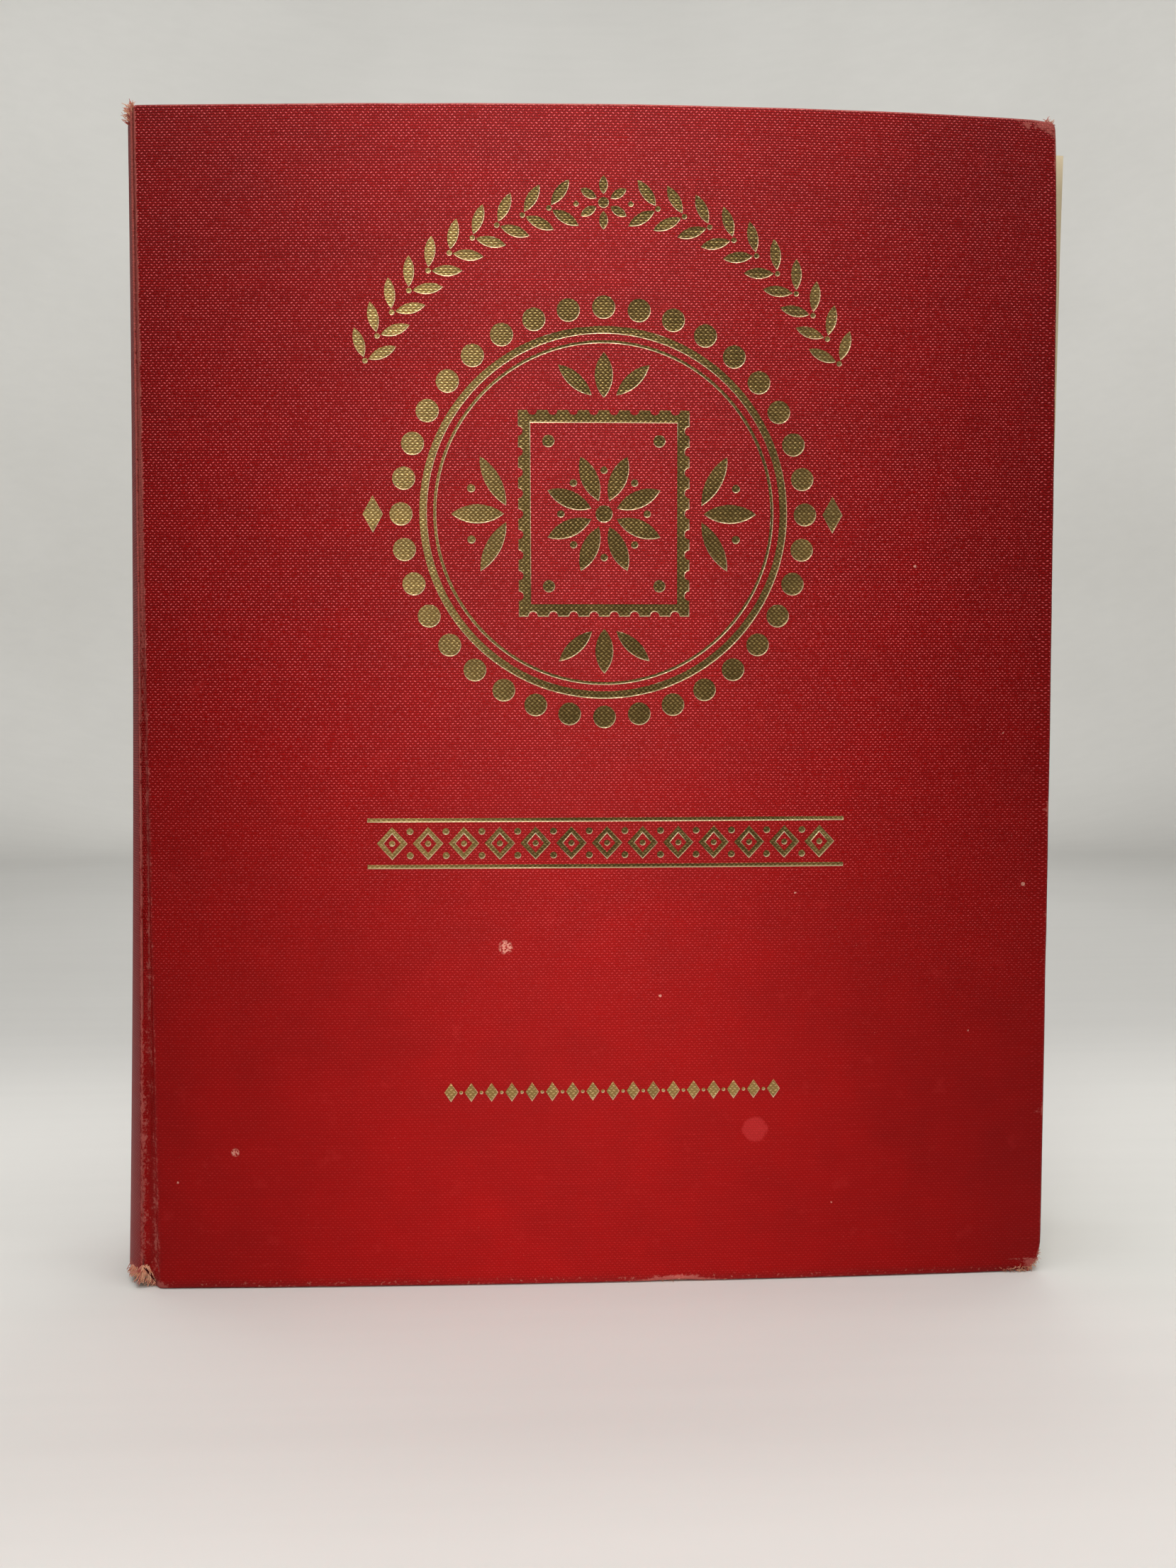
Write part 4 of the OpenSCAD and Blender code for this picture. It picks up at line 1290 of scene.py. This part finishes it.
# ------------------------------------------------------------------ leaves that turn
def leaf_shift(z, amount):
    return amount * (1.8 + 0.0113 * z)


def build_leaf(cad, side, mat, lean, seed, thick):
    lo_, hi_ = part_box(cad)
    y_cad = (lo_.y + hi_.y) / 2 / MM
    u = (y_cad - side.y0) * side.sgn
    frac = max(0.0, 1 - u / 19.0) ** 1.35
    x0 = GUTTER - 0.1
    xs = [x0 + d for d in (0, 0.8, 1.6, 2.4, 3.4, 4.6, 6, 7.6, 9.5, 12, 15)] + [mix(x0 + 20, PAGE_FE, k / 26) for k in range(27)]
    zs = [mix(PAGE_Z0, PAGE_Z1, k / 34) for k in range(35)]
    rnd = random.Random(seed)
    ph, hz = rnd.uniform(0, 9), rnd.uniform(-0.15, 0.15)
    verts, uvs, edge, tone = [], [], [], []
    for j, z in enumerate(zs):
        for x in xs:
            s = (x - x0) / (PAGE_FE - x0)
            wav = 0.07 * math.sin(z * 0.05 + 1.0) * s + 0.05 * math.sin(z * 0.11 + ph) * s * s
            y = y_cad - side.sgn * (side.bow(x, z) * frac * smooth(s * 3.0)) + wav
            xx = x + leaf_shift(z, lean) * smooth(s * 1.15) + (0.12 * fbm(z, seed, 30.0, ph) if s > 0.99 else 0)
            drop = 2.7 * smooth(lean - 0.4) * s * (1.0 + 0.5 * z / H)
            verts.append(Vector((xx, y, z + hz * s - drop)))
            uvs.append((x - x0, z - PAGE_Z0))
            edge.append(clamp(1 - min(PAGE_FE - x, z - PAGE_Z0, PAGE_Z1 - z) / 14.0) ** 2)
            tone.append(0.5 + 0.3 * rnd.random() * 0 + 0.2 * math.sin(seed * 2.1))
    nx = len(xs)
    faces = [[j * nx + i, j * nx + i + 1, (j + 1) * nx + i + 1, (j + 1) * nx + i] for j in range(len(zs) - 1) for i in range(nx - 1)]
    obj = make_mesh(cad + "_sheet", verts, faces, uvs, {"edge": edge, "tone": tone}, [mat])
    solidify(obj, thick, 0.0)
    return obj


leaf_rows = [("front_flyleaf", FRONT, ENDPAPER, 1.34), ("title_leaf", FRONT, BLOCK, 0.15), ("album_leaf_1", FRONT, LEAF, 0.3),
             ("album_leaf_2", FRONT, LEAF, 0.0), ("album_leaf_3", FRONT, LEAF, 0.12), ("album_leaf_4", FRONT, LEAF, 0.05),
             ("album_leaf_5", BACK, LEAF, 0.0), ("album_leaf_6", BACK, LEAF, 0.1), ("album_leaf_7", BACK, LEAF, 0.0),
             ("back_flyleaf", BACK, ENDPAPER, 0.05)]
for k, (cad, side, mat, lean) in enumerate(leaf_rows):
    o = build_leaf(cad, side, mat, lean, 11 + k, 0.22)
    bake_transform(o)
    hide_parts(cad)


# ------------------------------------------------------------------ the sewn block
def build_section(i):
    cad = "section_%02d" % (i + 1)
    lo_, hi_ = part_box(cad)
    y0, y1 = lo_.y / MM, hi_.y / MM
    x0 = lo_.x / MM
    yc, half = (y0 + y1) / 2, (y1 - y0) / 2
    pitch = half / 1.2 * 2.794
    rnd = random.Random(500 + i)
    verts, faces, uvs, edge, tone = [], [], [], [], []
    zs = [mix(PAGE_Z0, PAGE_Z1, k / 12) for k in range(13)]
    for k in range(4):
        h = 1.2 - 0.3 * k - 0.11
        # each half of the sheet spreads to its own share of the thickness by mid page
        tgt_a = yc - pitch * (0.5 - (k + 0.5) / 8)
        tgt_b = yc + pitch * (0.5 - (k + 0.5) / 8)
        fe_a = PAGE_FE - 0.9 + (x0 - (X_BE - 1)) + rnd.uniform(-0.35, 0.35)
        fe_b = PAGE_FE - 0.9 + (x0 - (X_BE - 1)) + rnd.uniform(-0.35, 0.35)
        dz = rnd.uniform(-0.18, 0.18)
        ph = rnd.uniform(0, 6)
        t0 = rnd.uniform(0.2, 0.9)
        cx = x0 + 1.2
        section_pts = []
        steps = [1.0, 0.985, 0.93, 0.8, 0.62, 0.44, 0.28, 0.15, 0.06]
        for s in steps:
            section_pts.append(("a", s))
        for q in range(7):
            section_pts.append(("f", q / 6))
        for s in reversed(steps):
            section_pts.append(("b", s))
        base = len(verts)
        for z in zs:
            zt = (z - PAGE_Z0) / (PAGE_Z1 - PAGE_Z0)
            for kind, s in section_pts:
                if kind == "f":
                    a = math.radians(-90 - 180 * s)
                    x, y = cx + h * math.cos(a), yc + h * math.sin(a)
                else:
                    sign = -1 if kind == "a" else 1
                    fe = fe_a if kind == "a" else fe_b
                    x = mix(cx, fe, s)
                    tgt = tgt_a if kind == "a" else tgt_b
                    y = mix(yc + sign * h, tgt, smooth(s * 2.2))
                    y += 0.035 * math.sin(z * 0.07 + ph + x * 0.02) * s
                    y -= bow_front(x, z) * 0.20 * max(0.0, 1 - i / 4.0) * smooth(s * 2)
                verts.append(Vector((x, y, z + dz)))
                uvs.append((x - x0 + (0 if kind == "a" else 240), z))
                edge.append(1.0 if s > 0.97 and kind != "f" else 0.25)
                tone.append(t0)
        nx = len(section_pts)
        for j in range(len(zs) - 1):
            for m in range(nx - 1):
                q = base + j * nx + m
                faces.append([q, q + 1, q + nx + 1, q + nx])
    obj = make_mesh(cad + "_sheets", verts, faces, uvs, {"edge": edge, "tone": tone}, [BLOCK])
    solidify(obj, 0.19, 0.0)
    return obj


for i in range(10):
    cad = "section_%02d" % (i + 1)
    o = build_section(i)
    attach(o, "root")
    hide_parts(cad)


# ------------------------------------------------------------------ head and tail bands
def band_material():
    n = Nodes("striped_band_silk")
    vec, x, z = n.uv_mm()
    s = n.math("SINE", n.mul(n.add(x, n.mul(z, 0.25)), math.pi / 0.9))
    c = n.mixc(n.ramp(s, -0.15, 0.15), (0.42, 0.03, 0.025, 1), (0.74, 0.66, 0.50, 1))
    f = n.noise(vec, 3.0, 3.0)
    c = n.scale_color(c, n.mixf(f, 0.75, 1.1))
    n.put(n.bsdf.inputs["Base Color"], c)
    n.bsdf.inputs["Roughness"].default_value = 0.5
    n.bsdf.inputs["Sheen Weight"].default_value = 0.25
    hgt = n.math("ABSOLUTE", n.math("SINE", n.mul(n.add(x, n.mul(z, 0.25)), math.pi / 0.45)))
    n.put(n.bsdf.inputs["Normal"], n.bump(hgt, 0.12, 0.8))
    return n.mat


BAND = band_material()


def build_band(cad, up):
    lo_, hi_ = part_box(cad)
    x_mid, half = lo_.x / MM, hi_.y / MM
    xe = hi_.x / MM - 0.8
    verts, faces, uvs = [], [], []
    n_len, n_ring = 56, 12
    z_base = PAGE_Z1 if up else PAGE_Z0
    for i in range(n_len + 1):
        f = i / n_len
        y = mix(-half, half, f)
        x = x_mid + 1.0 + (y * y) / (2 * 60.0)
        for k in range(n_ring):
            a = 2 * math.pi * k / n_ring
            r = 0.92 * (1 + 0.05 * math.sin(y * 2 * math.pi / 0.9))
            verts.append(Vector((x + r * math.cos(a), y, z_base + (0.75 if up else -0.75) + r * 0.95 * math.sin(a))))
            uvs.append((y, a * 0.9))
    for i in range(n_len):
        for k in range(n_ring):
            a, b = i * n_ring + k, i * n_ring + (k + 1) % n_ring
            faces.append([a, b, b + n_ring, a + n_ring])
    faces.append([k for k in range(n_ring)][::-1])
    faces.append([n_len * n_ring + k for k in range(n_ring)])
    obj = make_mesh(cad + "_bead", verts, faces, uvs, {}, [BAND])
    obj.data.update()
    if sum(p.normal.z * (p.center.z - (z_base + (0.75 if up else -0.75)) * MM) for p in obj.data.polygons) < 0:
        obj.data.flip_normals()
    return obj


for cad, up in (("head_band", True), ("tail_band", False)):
    o = build_band(cad, up)
    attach(o, "root")
    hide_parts(cad)


# ------------------------------------------------------------------ frayed threads
def tube_threads(name, strands, mat):
    """strands: lists of (point, radius). Each becomes a closed thin tube."""
    verts, faces = [], []
    ns = 5
    for pts in strands:
        base = len(verts)
        for i, (p, r) in enumerate(pts):
            a = pts[max(0, i - 1)][0]
            b = pts[min(len(pts) - 1, i + 1)][0]
            t = (b - a).normalized()
            s = t.cross(Vector((0.31, 0.77, 0.55))).normalized()
            q = t.cross(s)
            for k in range(ns):
                ang = 2 * math.pi * k / ns
                verts.append(p + (s * math.cos(ang) + q * math.sin(ang)) * r)
        for i in range(len(pts) - 1):
            for k in range(ns):
                c, d = base + i * ns + k, base + i * ns + (k + 1) % ns
                faces.append([c, d, d + ns, c + ns])
        faces.append([base + k for k in range(ns)][::-1])
        faces.append([base + (len(pts) - 1) * ns + k for k in range(ns)])
    return make_mesh(name, verts, faces, None, {}, [mat])


def strand(rnd, root, direction, length, curl, radius, n=6, gravity=0.0, zmin=0.15):
    pts = []
    p = Vector(root)
    d = Vector(direction).normalized()
    bend = Vector((rnd.uniform(-1, 1), rnd.uniform(-1, 1), rnd.uniform(-1, 1))) * curl
    for i in range(n):
        t = i / (n - 1)
        pts.append((p.copy(), max(0.035, radius * (1 - 0.55 * t))))
        d = (d + bend / n + Vector((0, 0, -gravity / n))).normalized()
        p = p + d * (length / (n - 1))
        if p.z < zmin:
            p.z = zmin
    return pts


rnd = random.Random(77)
strands_tan, strands_red = [], []
# at the foot of the spine: short ends along the spine's torn cloth
for k in range(150):
    f = abs(rnd.gauss(0, 0.10))
    if f > 0.34:
        continue
    z = tail_of_spine(f) + rnd.uniform(-0.1, 0.8)
    p = spine_point(f, z, rnd.uniform(0.0, 0.4))
    d = (rnd.uniform(-0.9, 0.35), rnd.uniform(-0.5, 0.2), -1.0)
    (strands_tan if rnd.random() < 0.72 else strands_red).append(
        strand(rnd, p, d, rnd.uniform(1.3, 2.8), 0.9, rnd.uniform(0.10, 0.19)))
# and the longer tuft from the torn joint
for k in range(120):
    j = rnd.uniform(0.30, 1.05)
    z = 0.6 + 4.4 * smooth((JW * j - 1.1) / 3.4) + rnd.uniform(-0.2, 0.9)
    p = FRONT.pos(X_BE - JW * j, z, rnd.uniform(0.0, 0.45))
    d = (rnd.uniform(-0.75, 0.12), rnd.uniform(-0.10, 0.18), -1.0)
    (strands_tan if rnd.random() < 0.8 else strands_red).append(
        strand(rnd, p, d, rnd.uniform(1.6, 4.6) * clamp(z / 4.0, 0.4, 1.1), 0.7, rnd.uniform(0.11, 0.20), 7))
foot = tube_threads("spine_foot_threads", strands_tan, FRAY)
foot2 = tube_threads("spine_foot_red_threads", strands_red, FRAY_RED)
# at the head: a torn cap at the front ridge
head_t, head_r = [], []
for k in range(70):
    f = abs(rnd.gauss(0, 0.05))
    z = H - rnd.uniform(-0.4, 3.6)
    p = spine_point(min(f, 0.25), min(z, H - 0.2), 0.15)
    d = (rnd.uniform(-1.0, 0.3), rnd.uniform(-0.6, 0.2), rnd.uniform(-0.1, 1.0))
    (head_t if rnd.random() < 0.45 else head_r).append(strand(rnd, p, d, rnd.uniform(0.8, 2.3), 1.3, rnd.uniform(0.09, 0.17)))
for k in range(24):
    p = FRONT.pos(X_BE - JW * rnd.uniform(0.2, 1.0), H - rnd.uniform(0.1, 1.2), 0.2)
    d = (rnd.uniform(-0.7, 0.4), rnd.uniform(-0.4, 0.1), 1.0)
    (head_t if rnd.random() < 0.5 else head_r).append(strand(rnd, p, d, rnd.uniform(0.7, 2.2), 1.2, rnd.uniform(0.08, 0.15)))
head1 = tube_threads("spine_head_threads", head_t, FRAY)
head2 = tube_threads("spine_head_red_threads", head_r, FRAY_RED)
for o in (foot, foot2, head1, head2):
    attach(o, "root")
# the board's worn corners and a few nicks along the edges
cr, cr_red = [], []
for k in range(300):
    a = math.radians(rnd.uniform(-90, 4))
    r = corner_radius(FRONT, False)
    wob = outline_wobble(FRONT, X_FE - r + r * math.cos(a), r + r * math.sin(a), 1, 0)
    rr = r - wob - rnd.uniform(0.1, 1.5)
    x, z = X_FE - r + rr * math.cos(a), r + rr * math.sin(a)
    p = FRONT.pos(x, max(z, 0.2), rnd.uniform(0.3, 2.6))
    d = (math.cos(a) + rnd.uniform(-0.8, 0.5), rnd.uniform(-0.9, 0.5), math.sin(a) + rnd.uniform(-0.3, 0.6))
    (cr if rnd.random() < 0.85 else cr_red).append(strand(rnd, p, d, rnd.uniform(0.6, 1.7), 1.6, rnd.uniform(0.06, 0.13), 5))
for k in range(90):
    x = X_FE - rnd.uniform(2.5, 9.5)
    p = FRONT.pos(x, rnd.uniform(0.3, 1.3), rnd.uniform(-0.05, 0.8))
    d = (rnd.uniform(-1, 1), rnd.uniform(-0.7, 0.1), rnd.uniform(-0.35, 0.5))
    (cr if rnd.random() < 0.8 else cr_red).append(strand(rnd, p, d, rnd.uniform(0.5, 1.3), 1.5, rnd.uniform(0.05, 0.11), 5))
for k in range(34):
    a = math.radians(rnd.uniform(20, 88))
    r = corner_radius(FRONT, True)
    x, z = X_FE - r + (r - 0.4) * math.cos(a), H - r + (r - 0.4) * math.sin(a)
    p = FRONT.pos(x, z, rnd.uniform(0.2, 1.4))
    d = (math.cos(a) + rnd.uniform(-0.4, 0.6), rnd.uniform(-0.6, 0.3), math.sin(a) + rnd.uniform(-0.6, 0.3))
    (cr if rnd.random() < 0.6 else cr_red).append(strand(rnd, p, d, rnd.uniform(0.5, 1.4), 1.2, rnd.uniform(0.06, 0.12), 5))
for k in range(46):
    if rnd.random() < 0.6:
        z = rnd.uniform(10, 150)
        p = FRONT.pos(X_FE - 0.35, z, rnd.uniform(0.25, 1.2))
        d = (0.5, -0.6, rnd.uniform(-1, 1))
    else:
        x = X_BE + rnd.gauss(131, 7)
        p = FRONT.pos(x, 0.35, rnd.uniform(0.2, 1.0))
        d = (rnd.uniform(-1, 1), -0.7, -0.1)
    (cr if rnd.random() < 0.6 else cr_red).append(strand(rnd, p, d, rnd.uniform(0.4, 0.9), 1.2, rnd.uniform(0.05, 0.09), 4))
c1 = tube_threads("corner_fibres", cr, FRAY)
c2 = tube_threads("corner_red_fibres", cr_red, FRAY_RED)
for o in (c1, c2):
    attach(o, "front_cover")


# ------------------------------------------------------------------ CAD pieces that stay, with their own materials
for cad, mat in (("spine_lining_paper", KRAFT), ("spine_mull", MULL), ("sewing_tapes", LINEN), ("sewing_thread", THREAD),
                 ("compensation_guards", LINEN), ("leaf_guards", LINEN)):
    o = frame["nodes"][cad]
    if not o.material_slots:
        o.data.materials.append(mat)
    for s in o.material_slots:
        s.material = mat


# ------------------------------------------------------------------ stage, light and camera
def stage_material():
    n = Nodes("pale_paper_floor")
    vec, x, y, z = n.obj_mm()
    big = n.noise(vec, 0.004, 2.0)
    rip = n.noise(n.combine(n.mul(x, 0.06), y, n.mul(z, 1.0)), 0.09, 3.0)
    c = n.mixc(n.ramp(big, 0.3, 0.7), (0.755, 0.745, 0.715, 1), (0.79, 0.78, 0.75, 1))
    c = n.scale_color(c, n.mixf(rip, 0.97, 1.02))
    # painted shade: the floor is darker behind the book and towards the wall
    painted_shadow_band = n.mul(n.ramp(y, 60.0, 240.0), n.ramp(y, 900.0, 1250.0, 1.0, 0.0))
    c = n.scale_color(c, n.mixf(painted_shadow_band, 1.0, 0.74))
    n.put(n.bsdf.inputs["Base Color"], c)
    n.bsdf.inputs["Roughness"].default_value = 0.75
    n.bsdf.inputs["Specular IOR Level"].default_value = 0.2
    n.put(n.bsdf.inputs["Normal"], n.bump(rip, 0.5, 0.25))
    return n.mat


def build_stage():
    """A pale floor that turns up into a wall all round, so that every side has the same plain room."""
    prof_pts = [(150.0, 0.0), (400.0, 0.0), (700.0, 0.0), (950.0, 0.0), (1150.0, 0.0)]
    r = 350.0
    for k in range(1, 13):
        a = math.radians(88 * k / 12)
        prof_pts.append((1150.0 + r * math.sin(a), r - r * math.cos(a)))
    r_l, z_l = prof_pts[-1]
    for k in range(1, 6):
        prof_pts.append((r_l + 0.035 * 250 * k, z_l + 250.0 * k))
    seg = 72
    verts = [Vector((0.0, 0.0, 0.0))]
    for (rr, z) in prof_pts:
        for i in range(seg):
            a = 2 * math.pi * i / seg
            verts.append(Vector((rr * math.cos(a), rr * math.sin(a), z)))
    faces = [[0, 1 + i, 1 + (i + 1) % seg] for i in range(seg)]
    for j in range(len(prof_pts) - 1):
        a0, b0 = 1 + j * seg, 1 + (j + 1) * seg
        faces += [[a0 + i, b0 + i, b0 + (i + 1) % seg, a0 + (i + 1) % seg] for i in range(seg)]
    return make_mesh("stage_sweep", verts, faces, None, {}, [stage_material()])


stage_obj = build_stage()


def area_light(name, loc, target, size, size_y, power, color=(1, 1, 1)):
    ld = bpy.data.lights.new(name, "AREA")
    ld.shape = "RECTANGLE"
    ld.size, ld.size_y = size, size_y
    ld.energy = power
    ld.color = color
    o = link(bpy.data.objects.new(name, ld))
    o.location = loc
    o.rotation_mode = "QUATERNION"
    o.rotation_quaternion = (Vector(target) - Vector(loc)).to_track_quat("-Z", "Y")
    o.visible_camera = False
    return o


strip = area_light("key_strip", (X_BE * MM + 0.105, -0.78, 0.34), (X_BE * MM + 0.105, 0.0, 0.20), 0.07, 0.64, 0.318, (1.0, 0.985, 0.965))
strip.data.spread = math.radians(20)
area_light("key_overhead", (-0.06, -0.60, 0.92), (0.0, 0.0, 0.20), 0.40, 0.26, 3.0, (1.0, 0.985, 0.96))
area_light("soft_left", (-0.46, -0.62, 0.62), (-0.03, 0, 0.20), 0.26, 0.40, 0.22, (0.97, 0.99, 1.0))
area_light("soft_right", (0.62, -0.35, 0.66), (0.25, 0.12, 0.15), 0.35, 0.40, 0.45, (1.0, 0.99, 0.97))
area_light("top_soft", (0.0, -0.15, 1.10), (0, -0.13, 0), 0.9, 0.4, 4.9, (1, 1, 1))
area_light("soft_back", (0.22, 0.78, 0.70), (0.0, 0.02, 0.15), 0.50, 0.40, 0.9, (1.0, 1.0, 0.99))
area_light("wall_back", (0.0, 0.30, 1.45), (0.0, 1.50, 0.55), 1.40, 0.35, 10.5, (1, 1, 0.99))
area_light("wall_front", (0.0, -0.75, 1.45), (0.0, -1.50, 0.40), 1.40, 0.35, 0.7, (1, 1, 0.99))
area_light("wall_left", (-0.65, 0.1, 1.45), (-1.50, 0.1, 0.45), 1.20, 0.35, 1.0, (1, 1, 0.99))
area_light("wall_right", (0.65, 0.1, 1.45), (1.50, 0.1, 0.45), 1.20, 0.35, 1.0, (1, 1, 0.99))

# the strip models the cloth's soft vertical sheen; the bright foil and the room take their light from the others
kept_dark = bpy.data.collections.new("not_lit_by_strip")
for fo in [*foils.values(), stage_obj]:
    kept_dark.objects.link(fo)
for entry in kept_dark.collection_objects:
    entry.light_linking.link_state = "EXCLUDE"
strip.light_linking.receiver_collection = kept_dark

world = bpy.data.worlds.new("soft_room")
bpy.context.scene.world = world
world.use_nodes = True
world.node_tree.nodes["Background"].inputs[0].default_value = (0.86, 0.88, 0.90, 1)
world.node_tree.nodes["Background"].inputs[1].default_value = 0.02
bpy.context.scene.view_settings.view_transform = "Standard"

cam_data = bpy.data.cameras.new("camera")
cam = link(bpy.data.objects.new("camera", cam_data))
bpy.context.scene.camera = cam
cam_data.sensor_width = 36.0
cam_data.sensor_fit = "AUTO"
cam_data.lens = 1661.0 / 2212.0 * 36.0
cam_data.clip_start, cam_data.clip_end = 0.01, 20.0
yaw, pitch, roll = (math.radians(a) for a in (2.224, 2.868, -0.167))
cy_, sy_, cp_, sp_, cr_, sr_ = math.cos(yaw), math.sin(yaw), math.cos(pitch), math.sin(pitch), math.cos(roll), math.sin(roll)
base_m = Matrix(((1, 0, 0), (0, 0, -1), (0, 1, 0)))
Rz = Matrix(((cy_, -sy_, 0), (sy_, cy_, 0), (0, 0, 1)))
Rx = Matrix(((1, 0, 0), (0, cp_, -sp_), (0, sp_, cp_)))
Rr = Matrix(((cr_, -sr_, 0), (sr_, cr_, 0), (0, 0, 1)))
R = Rr @ Rx @ base_m @ Rz                  # rows: right, down, forward
right, down, fwd = R[0], R[1], R[2]
cam.matrix_world = Matrix((
    (right[0], -down[0], -fwd[0], (X_BE + 97.54) * MM),
    (right[1], -down[1], -fwd[1], (YF - 295.12) * MM),
    (right[2], -down[2], -fwd[2], 142.31 * MM),
    (0, 0, 0, 1)))

bpy.context.view_layer.update()
